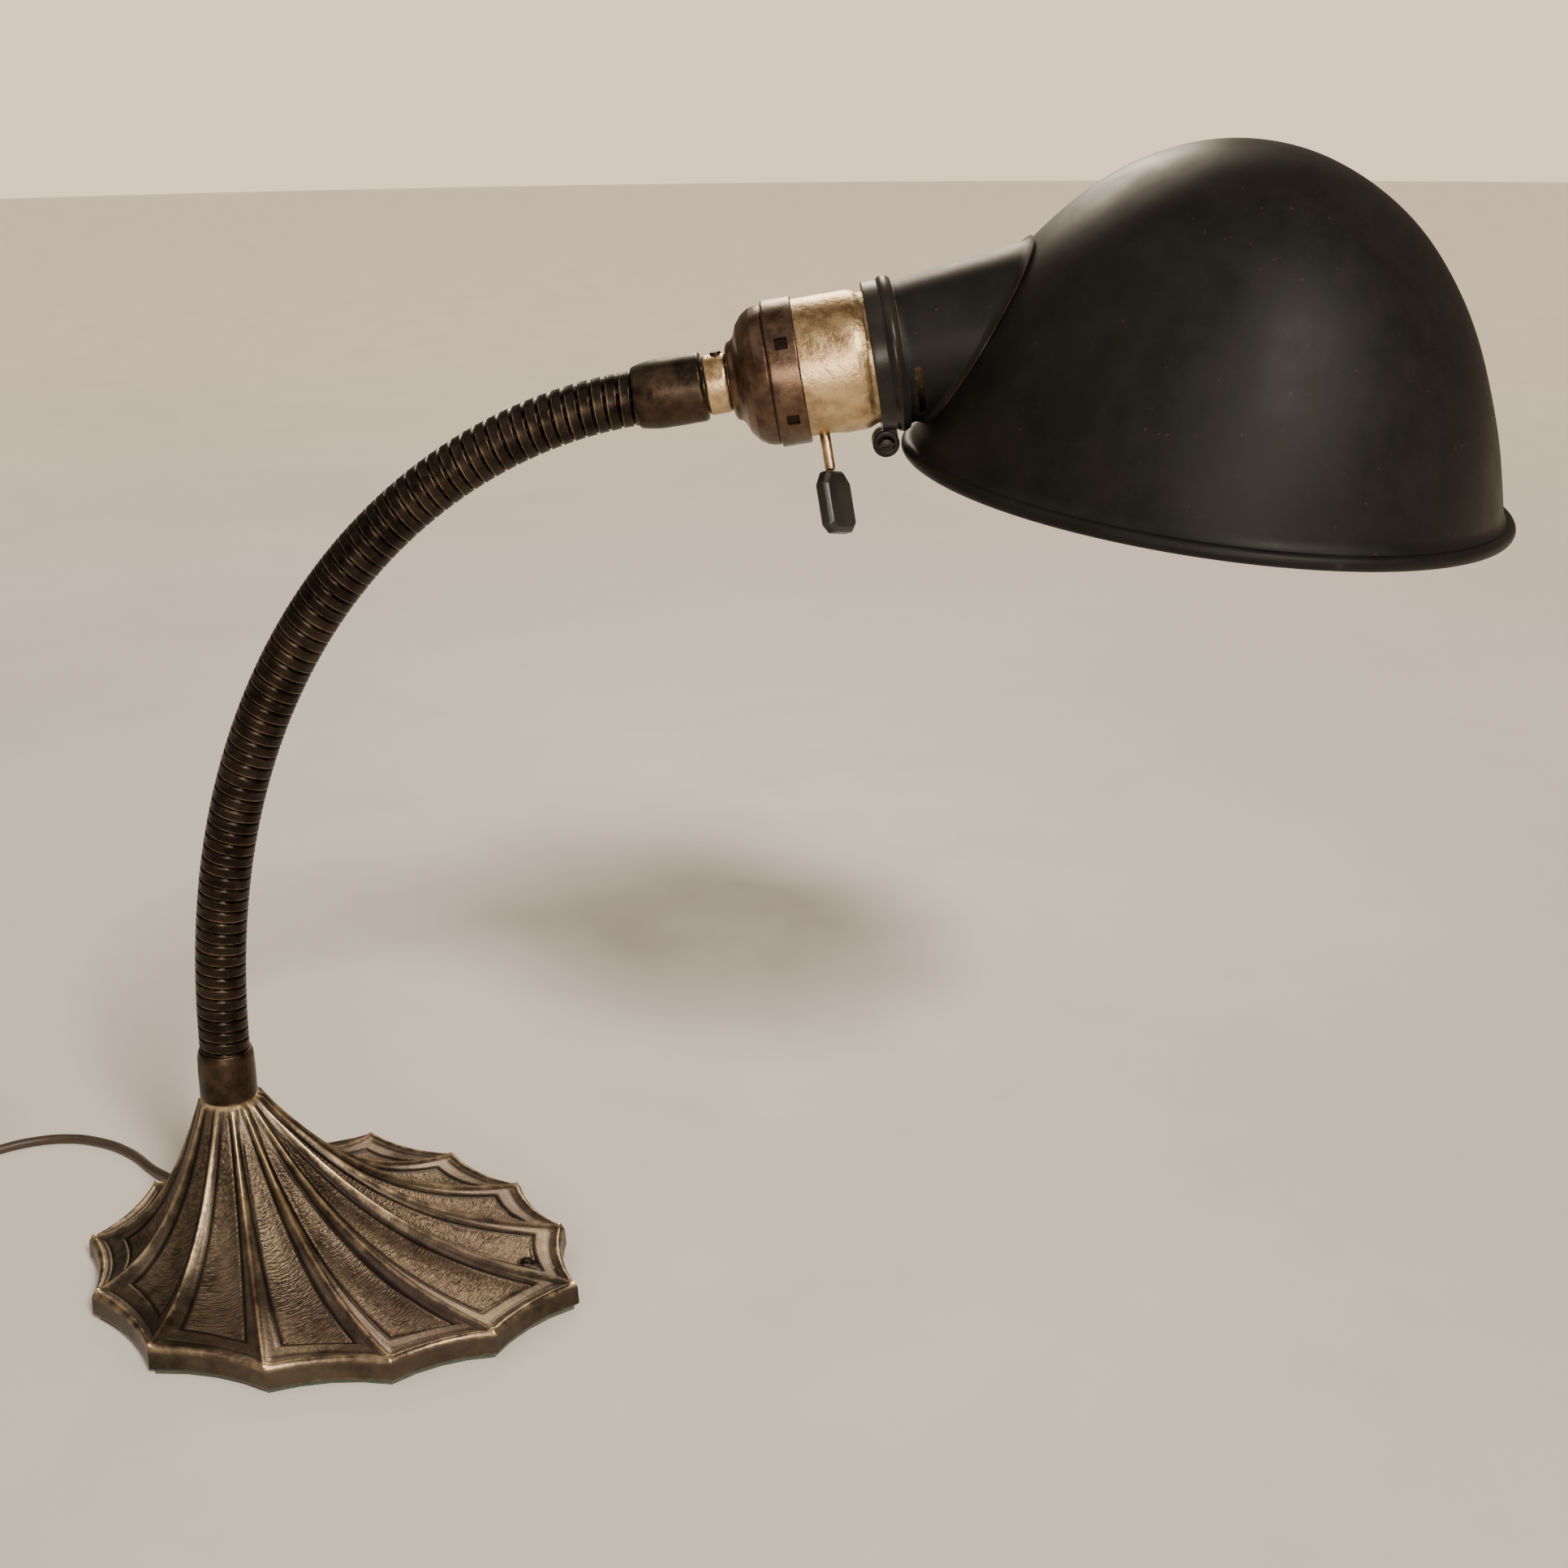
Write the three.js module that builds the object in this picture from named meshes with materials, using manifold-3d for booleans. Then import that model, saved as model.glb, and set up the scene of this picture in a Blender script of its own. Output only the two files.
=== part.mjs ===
// Gooseneck desk lamp: scalloped cast base, flexible neck, key socket and clamped-on dome shade.
// Millimetres, +Z up. The hub axis of the base is the Z axis and the neck bends in the XZ plane toward +X.
import * as THREE from 'three';
import { mergeVertices } from 'three/addons/utils/BufferGeometryUtils.js';
import { RoundedBoxGeometry } from 'three/addons/geometries/RoundedBoxGeometry.js';
import Module from 'manifold-3d';

const wasm = await Module();
wasm.setup();

const deg = Math.PI / 180;
const gap = 0.3;            // clearance between neighbouring pieces

// Base casting: thirteen shallow scallops round an egg-shaped plan, the hub near its rear end.
const base = {
  rim: [                    // corners of the rim, anticlockwise from the front tip
    [100, -31.5], [93.5, -2.5], [78, 20.5], [55.5, 39], [27.5, 52.5], [-4, 46], [-34.5, 24],
    [-44, -6], [-34, -34], [-11, -59], [22, -68], [54.5, -65], [80.5, -53.5],
  ],
  steps: 4,                 // facets per scallop
  middle: [28, -9],
  sag: 2.3,                 // depth of each scallop
  floor: 1.8,               // underside of the rim, on top of the felt
  rimTop: 8,
  top: 52,                  // top of the hub
  hubR: 8.2,
  flare: 2.6,               // exponent of the trumpet profile
  rib: 1.3,                 // height of the ribs between the panels
  wall: 6,
  hollow: 0.55,             // how far the hollow underside reaches toward the rim
  ceiling: 34,              // top of the hollow
};
const felt = { thick: 1.5, inset: 1.6 };
const nipple = { r: 4.6, bore: 3, bottom: 25, top: 61 };
const nut = { across: 14, thick: 4, bottom: 28 };
const washer = { r: 8, thick: 1 };

// Free cord, its exit through the rear of the rim, and its coil on the table.
const cord = { r: 1.5, sides: 8, steps: 16 };
const exit = { edge: 5, along: 0.8, z: 4.8, boreR: 1.85, r: 2.4, flangeR: 2.7 };
const coil = { x: -128, y: 66, meanR: 18, halfWide: 6.8, bottom: 1.3, high: 12.6 };
const tie = { wide: 7, thick: 0.8 };
const plug = {
  long: 25,
  wide: 24,
  high: 13,
  bladeLong: 17,
  bladeRoot: 6,             // length of a blade inside the body
  bladeWide: 6.3,
  bladeThick: 1.5,
  pitch: 12.7,
};

// Flexible neck: a centre line whose heading turns from almost upright to almost level.
const neck = {
  x: 0.3,
  z: 66.5,
  length: 235.5,
  start: 88.5 * deg,        // heading at the lower coupling
  end: 9 * deg,             // heading at the socket
  tighten: 0.528,           // share of the bend that grows with distance
  r: 6.9,
  segments: 10,
  ballR: 5.9,
  cupR: 6.2,
  shoulder: 0.6,            // half the slit between two segments
  ring: 3.36,               // pitch of the wound bands
  groove: 0.45,
  tuckLow: 4,               // length held in the lower coupling
  tuckHigh: 5.5,            // length held in the upper coupling
};

// Head: positions along the socket axis, measured from the end of the neck's centre line.
const head = {
  couplingStart: 1,
  couplingEnd: 18.6,
  bushingEnd: 24.7,
  bushingR: 7.4,
  capStart: 25,
  capR: 17.5,
  bandStart: 35.2,
  bandEnd: 43,
  bandR: 18.1,
  shellStart: 40,
  shellR: 17.2,
  shellEnd: 75,
  mouthR: 16.1,
  bodyStart: 30.5,
  bodyEnd: 50,
  bodyR: 15.6,
  screwR: 13.9,
  nippleStart: 8,
  nippleEnd: 29.2,
};
const setScrew = { at: 22.6, r: 1.4, inner: 4.9, outer: 7.9, slot: 0.6 };   // in the top of the bushing
const bulb = { baseR: 13.1, baseStart: 51.4, baseEnd: 67, r: 15, tip: 14, end: 150 };
const key = {
  at: 46.2,
  tilt: 22 * deg,           // from straight down toward the near side
  spin: 38 * deg,           // turn of the paddle about its stem at rest
  stemR: 1.3,
  inner: 6.5,               // the stem's two ends, from the socket axis
  outer: 26.2,
  long: 15.5,
  wide: 10.4,
  thick: 4.2,
  chamfer: 2.2,             // cut off the two corners at the stem
  chamferLong: 3.2,
  corner: 2,                // cut off the two outer corners
  bevel: 0.9,
  slotLong: 9.6,            // slot in the shell, along the socket axis
  slotWide: 9.4,
  slotShift: -3.2,          // toward the far side of the stem
};
const clamp = {
  start: 60.6,
  end: 67.8,
  r: 18.4,
  innerR: 16.45,
  beadR: 18.9,
  beadAt: 66,
  ear: 3.4,                 // radius of the ear round its screw
  earAt: 61,
  earLong: 7,
  drop: 21.4,               // screw's distance below the socket axis
  slit: 2.4,
  screwR: 1.5,
  screwHeadR: 2.2,
};

// Shade: a spun dome with a rolled rim, and a conical neck that reaches into its side.
const shade = {
  x: 265.8,
  z: 224.5,
  pitch: 6.5 * deg,         // the rim falls toward the front
  roll: 2.8 * deg,          // rest position about the socket axis
  r: 74,                    // at the rim
  crownR: 67,               // of the ellipse the dome starts as, before it flares to the rim
  high: 82,
  wall: 1,
  bead: 1.8,
  segments: 44,
};
const cone = { start: 68.4, end: 116, r0: 17.2, r1: 23, wall: 0.8 };
const slot = { start: 70, end: 71.7, low: -13, high: -1 };   // cut in the near side of the cone

// ---------------------------------------------------------------- helpers

function clean(geometry) {
  const bare = geometry.clone();
  bare.deleteAttribute('normal');
  bare.deleteAttribute('uv');
  const merged = mergeVertices(bare, 1e-4);
  const index = merged.index.array;
  const kept = [];
  for (let i = 0; i < index.length; i += 3) {
    const [a, b, c] = [index[i], index[i + 1], index[i + 2]];
    if (a !== b && b !== c && c !== a) kept.push(a, b, c);
  }
  merged.setIndex(kept);
  return signedVolume(merged) < 0 ? flipped(merged) : merged;
}

function signedVolume(geometry) {
  const p = geometry.attributes.position;
  const index = geometry.index.array;
  const [a, b, c] = [new THREE.Vector3(), new THREE.Vector3(), new THREE.Vector3()];
  let sum = 0;
  for (let i = 0; i < index.length; i += 3) {
    a.fromBufferAttribute(p, index[i]);
    b.fromBufferAttribute(p, index[i + 1]);
    c.fromBufferAttribute(p, index[i + 2]);
    sum += a.dot(b.cross(c));
  }
  return sum;
}

function flipped(geometry) {
  const index = Array.from(geometry.index.array);
  for (let i = 0; i < index.length; i += 3) {
    [index[i], index[i + 1]] = [index[i + 1], index[i]];
  }
  geometry.setIndex(index);
  return geometry;
}

function toManifold(geometry) {
  const g = clean(geometry);
  return new wasm.Manifold(new wasm.Mesh({
    numProp: 3,
    vertProperties: new Float32Array(g.attributes.position.array),
    triVerts: new Uint32Array(g.index.array),
  }));
}

function fromManifold(solid) {
  const mesh = solid.getMesh();
  const g = new THREE.BufferGeometry();
  g.setAttribute('position', new THREE.BufferAttribute(new Float32Array(mesh.vertProperties), 3));
  g.setIndex(Array.from(mesh.triVerts));
  return g;
}

function cut(geometry, ...tools) {
  let solid = toManifold(geometry);
  for (const tool of tools) solid = solid.subtract(toManifold(tool));
  return fromManifold(solid);
}

function join(...parts) {
  let solid = toManifold(parts[0]);
  for (const part of parts.slice(1)) solid = solid.add(toManifold(part));
  return fromManifold(solid);
}

// Revolve [radius, height] pairs about the Z axis.
function lathe(profile, segments = 40) {
  const points = profile.map(([r, z]) => new THREE.Vector2(Math.max(r, 0), z));
  return new THREE.LatheGeometry(points, segments).rotateX(Math.PI / 2);
}

// A tube: the outer profile followed by the inner one, closed on itself.
function hollow(outer, inner, segments = 40) {
  return lathe([...outer, ...inner.slice().reverse(), outer[0]], segments);
}

function rod(r, z0, z1, sides = 24) {
  return lathe([[0, z0], [r, z0], [r, z1], [0, z1]], sides);
}

function block(x0, x1, y0, y1, z0, z1) {
  const g = new THREE.BoxGeometry(x1 - x0, y1 - y0, z1 - z0);
  return g.translate((x0 + x1) / 2, (y0 + y1) / 2, (z0 + z1) / 2);
}

function tubeAlong(points, r, sides, steps) {
  const circle = new THREE.Shape();
  for (let i = 0; i < sides; i += 1) {
    const a = (i / sides) * 2 * Math.PI;
    if (i === 0) circle.moveTo(r, 0);
    else circle.lineTo(r * Math.cos(a), r * Math.sin(a));
  }
  circle.closePath();
  const path = new THREE.CatmullRomCurve3(points, false, 'centripetal');
  return new THREE.ExtrudeGeometry(circle, { steps, bevelEnabled: false, extrudePath: path });
}

// Move every vertex by a function of its position.
function bend(geometry, place) {
  const g = clean(geometry);
  const p = g.attributes.position;
  const v = new THREE.Vector3();
  for (let i = 0; i < p.count; i += 1) {
    v.fromBufferAttribute(p, i);
    const moved = place(v);
    p.setXYZ(i, moved.x, moved.y, moved.z);
  }
  return g;
}

const object = new THREE.Group();
object.name = 'gooseneck_desk_lamp';

function piece(name, geometry, colour, roughness, metalness) {
  const material = new THREE.MeshStandardMaterial({ color: colour, roughness, metalness });
  const mesh = new THREE.Mesh(clean(geometry), material);
  mesh.name = name;
  object.add(mesh);
}

// Finishes: colour, roughness, metalness.
const bronze = ['#4a3a2b', 0.5, 0.9];
const castBronze = ['#4f3f2d', 0.6, 0.8];
const brass = ['#8a6a3f', 0.4, 0.9];
const steel = ['#8d8d8d', 0.4, 1];
const enamel = ['#1b1b1c', 0.55, 0.2];
const phenolic = ['#141414', 0.35, 0];
const fibre = ['#b39a70', 0.9, 0];
const glass = ['#f4efe2', 0.15, 0];
const rubber = ['#1e1a18', 0.7, 0];
const lead = ['#3a2a20', 0.65, 0];
const feltGreen = ['#2f3a2c', 1, 0];

// ---------------------------------------------------------------- base

const corners = base.rim.length;

function rimCorner(k) {
  return new THREE.Vector2(...base.rim[k % corners]);
}

// The rim's outline at turn u (0 to 1), pulled inward by inset.
function rimPoint(u, inset = 0) {
  const k = u * corners;
  const a = rimCorner(Math.floor(k));
  const b = rimCorner(Math.floor(k) + 1);
  const f = k - Math.floor(k);
  const inward = new THREE.Vector2(a.y - b.y, b.x - a.x).normalize();
  const depth = 4 * base.sag * f * (1 - f);
  const point = a.clone().lerp(b, f).addScaledVector(inward, depth);
  const middle = new THREE.Vector2(...base.middle);
  const arm = point.sub(middle);
  return arm.multiplyScalar(1 - inset / arm.length()).add(middle);
}

// Height of the upper surface, from the hub (s = 0) to the rim (s = 1).
function baseHeight(s) {
  return base.rimTop + (base.top - base.rimTop) * (1 - s) ** base.flare;
}

function ribLift(u, s) {
  const f = (u * corners) % 1;
  const crest = Math.abs(Math.cos(Math.PI * f)) ** 3;
  return base.rib * crest * Math.sin(Math.PI * Math.min(Math.max(s, 0), 1)) ** 0.7;
}

// Map a revolved blank, whose radius runs 0 to 1 over the hub and 1 to 2 out to the rim.
function spreadToRim(v, hubR, lift) {
  const r = Math.hypot(v.x, v.y);
  const u = ((Math.atan2(v.y, v.x) / (2 * Math.PI)) + 1) % 1;
  const edge = rimPoint(u);
  const hub = edge.clone().normalize().multiplyScalar(hubR);
  const s = Math.max(r - 1, 0);
  const flat = r < 1 ? hub.clone().multiplyScalar(r) : hub.clone().lerp(edge, s);
  return new THREE.Vector3(flat.x, flat.y, v.z + (lift ? ribLift(u, s) * lift(v) : 0));
}

function rimBlank(rows) {
  return lathe(rows, corners * base.steps);
}

function baseOuter() {
  const rows = [[0, base.floor], [2, base.floor], [2, base.rimTop - 1], [1.985, base.rimTop]];
  const count = 9;
  for (let i = 1; i <= count; i += 1) {
    const s = (1 - i / count) ** 1.15;
    rows.push([1 + s, baseHeight(s)]);
  }
  rows.push([0, base.top]);
  const onTop = (v) => (v.z >= base.rimTop - 0.01 ? 1 : 0);
  return bend(rimBlank(rows), (v) => spreadToRim(v, base.hubR, onTop));
}

function baseHollow() {
  const rows = [[0, -1], [1 + base.hollow, -1]];
  const count = 5;
  for (let i = 0; i < count; i += 1) {
    const s = base.hollow * (1 - i / count);
    rows.push([1 + s, Math.min(baseHeight(s) - base.wall, base.ceiling)]);
  }
  rows.push([0, base.ceiling]);
  return bend(rimBlank(rows), (v) => spreadToRim(v, base.hubR - 1, null));
}

// The cord's way out, square to the rim, between the two rear corners.
function exitFrame() {
  const u = (exit.edge + exit.along) / corners;
  const at = rimPoint(u);
  const a = rimCorner(exit.edge);
  const b = rimCorner(exit.edge + 1);
  const outward = new THREE.Vector2(b.y - a.y, a.x - b.x).normalize();
  return { at, outward };
}

function alongExit(geometry) {
  const { at, outward } = exitFrame();
  const spin = Math.atan2(outward.y, outward.x);
  return geometry.rotateY(Math.PI / 2).rotateZ(spin).translate(at.x, at.y, exit.z);
}

const baseCasting = cut(
  baseOuter(),
  baseHollow(),
  rod(nipple.r + 0.1, base.ceiling - 5, base.top + 1),
  alongExit(rod(exit.r + 0.15, -24, 4)),
  alongExit(rod(exit.flangeR + gap, -0.1, 5)),
);
piece('base_casting', baseCasting, ...castBronze);

const feltShape = new THREE.Shape();
const feltCount = corners * base.steps;
for (let i = 0; i < feltCount; i += 1) {
  const p = rimPoint(i / feltCount, felt.inset);
  if (i === 0) feltShape.moveTo(p.x, p.y);
  else feltShape.lineTo(p.x, p.y);
}
feltShape.closePath();
const feltPad = new THREE.ExtrudeGeometry(feltShape, { depth: felt.thick, bevelEnabled: false, steps: 1 });
piece('felt_pad', feltPad, ...feltGreen);

const nipplePipe = hollow(
  [[nipple.r, nipple.bottom], [nipple.r, nipple.top]],
  [[nipple.bore, nipple.bottom], [nipple.bore, nipple.top]],
  24,
);
piece('base_nipple', nipplePipe, ...steel);

const nutRound = new THREE.CylinderGeometry(nut.across / 2, nut.across / 2, nut.thick, 6);
nutRound.rotateX(Math.PI / 2).translate(0, 0, nut.bottom + nut.thick / 2);
piece('lock_nut', cut(nutRound, rod(nipple.r + 0.1, nut.bottom - 1, nut.bottom + nut.thick + 1)), ...steel);

const washerBottom = nut.bottom + nut.thick + gap;
const washerTop = washerBottom + washer.thick;
const washerRing = hollow(
  [[washer.r, washerBottom], [washer.r, washerTop]],
  [[nipple.r + 0.2, washerBottom], [nipple.r + 0.2, washerTop]],
  32,
);
piece('lock_washer', washerRing, ...steel);

const bushing = hollow(
  [[exit.r, -5], [exit.r, 0.2], [exit.flangeR, 0.2], [exit.flangeR, 1.4], [exit.flangeR - 0.5, 1.9]],
  [[exit.boreR, -5], [exit.boreR, 1.9]],
  24,
);
piece('cord_bushing', alongExit(bushing), ...rubber);

// ---------------------------------------------------------------- neck

// Centre line of the neck at distance s: position and heading, straight beyond both ends.
function neckAt(s) {
  const count = 200;
  const inside = Math.min(Math.max(s, 0), neck.length);
  const heading = (d) => {
    const t = d / neck.length;
    return neck.start - (neck.start - neck.end) * ((1 - neck.tighten) * t + neck.tighten * t * t);
  };
  let x = neck.x;
  let z = neck.z;
  for (let i = 0; i < count; i += 1) {
    const h = heading(((i + 0.5) * inside) / count);
    x += (Math.cos(h) * inside) / count;
    z += (Math.sin(h) * inside) / count;
  }
  const h = heading(inside);
  x += Math.cos(h) * (s - inside);
  z += Math.sin(h) * (s - inside);
  return { x, z, h };
}

// Put a point of a straight blank (its axis along Z) rigidly at distance s of the centre line.
function atNeck(s, v, z) {
  const c = neckAt(s);
  const side = v.x;
  return new THREE.Vector3(
    c.x + Math.cos(c.h) * z + Math.sin(c.h) * side,
    v.y,
    c.z + Math.sin(c.h) * z - Math.cos(c.h) * side,
  );
}

// A band-wound segment from one pivot to the next: a cup below, a ball above.
function neckSegment(index) {
  const long = neck.length / neck.segments;
  const first = index === 0;
  const last = index === neck.segments - 1;
  const low = first ? -neck.tuckLow : neck.shoulder;
  const high = last ? long + neck.tuckHigh : long - neck.shoulder;
  const rows = [];
  if (first) {
    rows.push([0, low], [neck.r, low]);
  } else {
    const steps = 5;
    for (let i = 0; i <= steps; i += 1) {
      const a = (Math.PI / 2) * (1 - i / steps) + Math.asin(low / neck.cupR) * (i / steps);
      rows.push([neck.cupR * Math.cos(a), neck.cupR * Math.sin(a)]);
    }
    rows.push([neck.r, low]);
  }
  const bands = Math.round((high - low) / (2 * neck.ring));
  for (let i = 1; i < bands; i += 1) {
    const z = low + ((high - low) * i) / bands;
    rows.push([neck.r, z - 0.5], [neck.r - neck.groove, z], [neck.r, z + 0.5]);
  }
  rows.push([neck.r, high]);
  if (last) {
    rows.push([0, high]);
  } else {
    const steps = 5;
    for (let i = 0; i <= steps; i += 1) {
      const a = Math.asin(-neck.shoulder / neck.ballR) * (1 - i / steps) + (Math.PI / 2) * (i / steps);
      rows.push([neck.ballR * Math.cos(a), long + neck.ballR * Math.sin(a)]);
    }
  }
  const rigid = neck.cupR + 0.4;
  return bend(lathe(rows, 16), (v) => {
    const t = Math.min(Math.max((v.z - rigid) / (long - 2 * rigid), 0), 1);
    const w = t * t * (3 - 2 * t);
    const below = atNeck(index * long, v, v.z);
    const above = atNeck((index + 1) * long, v, v.z - long);
    return below.lerp(above, w);
  });
}

const lowerCoupling = hollow(
  [[7.9, 52.3], [7.9, 60], [7.75, 65], [7.45, 66.5]],
  [[nipple.r + 0.5, 52.3], [nipple.r + 0.5, 57], [neck.r + 0.2, 57.3], [neck.r + 0.2, 66.5]],
);
const leanLow = (v) => atNeck(0, v, v.z - neck.z);
piece('lower_coupling', bend(lowerCoupling, leanLow), ...bronze);

for (let i = 0; i < neck.segments; i += 1) {
  piece(`neck_seg_${String(i + 1).padStart(2, '0')}`, neckSegment(i), ...bronze);
}

// ---------------------------------------------------------------- head

// Head pieces are drawn along +Z with +X up and +Y to the near side, then carried to the neck's end.
function onHead(geometry) {
  const c = neckAt(neck.length);
  const up = new THREE.Vector3(-Math.sin(c.h), 0, Math.cos(c.h));
  const near = new THREE.Vector3(0, -1, 0);
  const out = new THREE.Vector3(Math.cos(c.h), 0, Math.sin(c.h));
  const m = new THREE.Matrix4().makeBasis(up, near, out).setPosition(c.x, 0, c.z);
  return geometry.applyMatrix4(m);
}

const boreR = nipple.r + 0.1;
const upperCoupling = hollow(
  [[7.5, head.couplingStart], [8, 3], [8.5, 6], [8.6, 8], [8.6, 18], [8.2, head.couplingEnd]],
  [[neck.r + 0.2, head.couplingStart], [neck.r + 0.2, 6], [boreR, 6.3], [boreR, head.couplingEnd]],
);
piece('upper_coupling', onHead(upperCoupling), ...bronze);

const headNipple = hollow(
  [[nipple.r, head.nippleStart], [nipple.r, head.nippleEnd]],
  [[nipple.bore, head.nippleStart], [nipple.bore, head.nippleEnd]],
  24,
);
piece('head_nipple', onHead(headNipple), ...steel);

const bushingStart = head.couplingEnd + gap;
const socketBushing = cut(
  hollow(
    [[7, bushingStart], [head.bushingR, bushingStart + 0.5], [head.bushingR, head.bushingEnd]],
    [[boreR, bushingStart], [boreR, head.bushingEnd]],
  ),
  rod(setScrew.r + gap, 4, 9, 16).rotateY(Math.PI / 2).translate(0, 0, setScrew.at),
);
piece('socket_bushing', onHead(socketBushing), ...brass);

const bushingScrew = cut(
  rod(setScrew.r, setScrew.inner, setScrew.outer, 16),
  block(-2, 2, -setScrew.slot / 2, setScrew.slot / 2, setScrew.outer - 0.6, setScrew.outer + 1),
).rotateY(Math.PI / 2).translate(0, 0, setScrew.at);
piece('bushing_screw', onHead(bushingScrew), ...steel);

const capProfile = [[8.6, head.capStart], [9.6, 25.9], [10.2, 27], [13.4, 28.4], [15.9, 30.6], [17.1, 33]];
const capOuter = [...capProfile, [head.capR, head.bandStart], [head.bandR, head.bandStart + 0.2],
  [head.bandR, head.bandEnd]];
const capInner = [[boreR, head.capStart], [boreR, 26.9], [12.6, 29.1], [15, 31.2], [16.2, 33.4],
  [16.6, 36], [head.shellR + gap, 38], [head.shellR + gap, head.bandEnd]];
piece('socket_cap', onHead(hollow(capOuter, capInner, 48)), ...brass);

function keyAway(geometry) {
  return geometry.rotateY(-Math.PI / 2).rotateZ(-key.tilt).translate(0, 0, key.at);
}

const shellOuter = [[head.shellR, head.shellStart], [head.shellR, 56.6], [17, 58.2], [head.mouthR, 59.2],
  [head.mouthR, head.shellEnd]];
const shellInner = [[16.6, head.shellStart], [16.6, 56.8], [15.6, 59.4], [15.5, head.shellEnd]];
const keySlot = new RoundedBoxGeometry(key.slotLong, key.slotWide, 6, 2, 2.4);
const slotThrough = keyAway(keySlot.translate(0, key.slotShift, head.shellR));
piece('socket_shell', onHead(cut(hollow(shellOuter, shellInner, 48), slotThrough)), ...brass);

const linerTube = hollow([[16.3, 40], [16.3, 56.4]], [[15.9, 40], [15.9, 56.4]], 40);
piece('socket_liner', onHead(cut(linerTube, keyAway(rod(2.2, 12, 20)))), ...fibre);

const bodyBlock = lathe([[0, head.bodyStart], [10.5, head.bodyStart], [14.4, 33.5], [head.bodyR, 37],
  [head.bodyR, head.bodyEnd], [0, head.bodyEnd]], 40);
piece('socket_body', onHead(cut(bodyBlock, keyAway(rod(key.stemR + gap, 6, 20)))), ...phenolic);

const screwShell = hollow(
  [[head.screwR, 50.3], [head.screwR, 66.4], [head.screwR + 0.5, 66.8]],
  [[head.screwR - 0.4, 50.3], [head.screwR - 0.4, 66.8]],
);
piece('screw_shell', onHead(screwShell), ...brass);
piece('centre_contact', onHead(rod(3, 50.3, 51.1)), ...brass);

piece('key_stem', onHead(keyAway(rod(key.stemR, key.inner, key.outer, 16))), ...brass);

const paddleOutline = new THREE.Shape();
const halfPaddle = key.wide / 2;
paddleOutline.moveTo(-halfPaddle + key.chamfer, 0);
paddleOutline.lineTo(halfPaddle - key.chamfer, 0);
paddleOutline.lineTo(halfPaddle, key.chamferLong);
paddleOutline.lineTo(halfPaddle, key.long - key.corner);
paddleOutline.lineTo(halfPaddle - key.corner, key.long);
paddleOutline.lineTo(-halfPaddle + key.corner, key.long);
paddleOutline.lineTo(-halfPaddle, key.long - key.corner);
paddleOutline.lineTo(-halfPaddle, key.chamferLong);
paddleOutline.closePath();
const paddle = new THREE.ExtrudeGeometry(paddleOutline, {
  depth: key.thick - 2 * key.bevel,
  bevelThickness: key.bevel,
  bevelSize: key.bevel * 0.6,
  bevelSegments: 1,
  steps: 1,
});
paddle.translate(0, key.bevel, -key.thick / 2 + key.bevel);
paddle.rotateX(Math.PI / 2).rotateZ(Math.PI / 2 + key.spin);
piece('key_paddle', onHead(keyAway(paddle.translate(0, 0, key.outer + gap))), ...phenolic);

const bulbBase = lathe([[0, bulb.baseStart], [2.6, bulb.baseStart], [3.4, 52.4], [8.5, 53.6],
  [bulb.baseR - 0.4, 56], [bulb.baseR, 57], [bulb.baseR, bulb.baseEnd], [0, bulb.baseEnd]], 32);
piece('bulb_base', onHead(bulbBase), ...steel);
const glassStart = bulb.baseEnd + gap;
const bulbProfile = [[0, glassStart], [12.2, glassStart], [12.8, 70], [14.6, 75], [bulb.r, 80],
  [bulb.r, bulb.end - bulb.tip]];
for (let i = 1; i <= 5; i += 1) {
  const a = (i / 5) * (Math.PI / 2);
  bulbProfile.push([bulb.r * Math.cos(a), bulb.end - bulb.tip + bulb.tip * Math.sin(a)]);
}
piece('bulb_glass', onHead(lathe(bulbProfile, 32)), ...glass);

// ---------------------------------------------------------------- shade

// Everything that turns with the shade rests at a small roll about the socket axis.
function onShade(geometry) {
  return onHead(geometry.rotateZ(shade.roll));
}

const clampBand = hollow(
  [[clamp.r, clamp.start], [clamp.r, clamp.beadAt - 1.4], [clamp.beadR, clamp.beadAt - 0.9],
    [clamp.beadR + 0.3, clamp.beadAt], [clamp.beadR, clamp.beadAt + 0.9], [clamp.r, clamp.end]],
  [[clamp.innerR, clamp.start], [clamp.innerR, clamp.end]],
  48,
);
const earHalf = clamp.earLong / 2;
const ears = join(
  rod(clamp.ear, -earHalf, earHalf, 24).rotateX(Math.PI / 2).translate(-clamp.drop, 0, clamp.earAt),
  block(-clamp.drop, -clamp.innerR - 0.6, -earHalf, earHalf, clamp.start, clamp.earAt + clamp.ear),
);
const clampSlit = block(-clamp.drop - 9, -clamp.innerR + 3, -clamp.slit / 2, clamp.slit / 2, 50, 80);
const clampBore = rod(clamp.screwR + 0.2, -9, 9, 20);
const clampHole = clampBore.rotateX(Math.PI / 2).translate(-clamp.drop, 0, clamp.earAt);
const socketRoom = rod(clamp.innerR, 50, 80, 48);
const clampRing = cut(join(clampBand, ears), clampSlit, clampHole, socketRoom);
piece('clamp_ring', onShade(clampRing), ...enamel);

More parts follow.
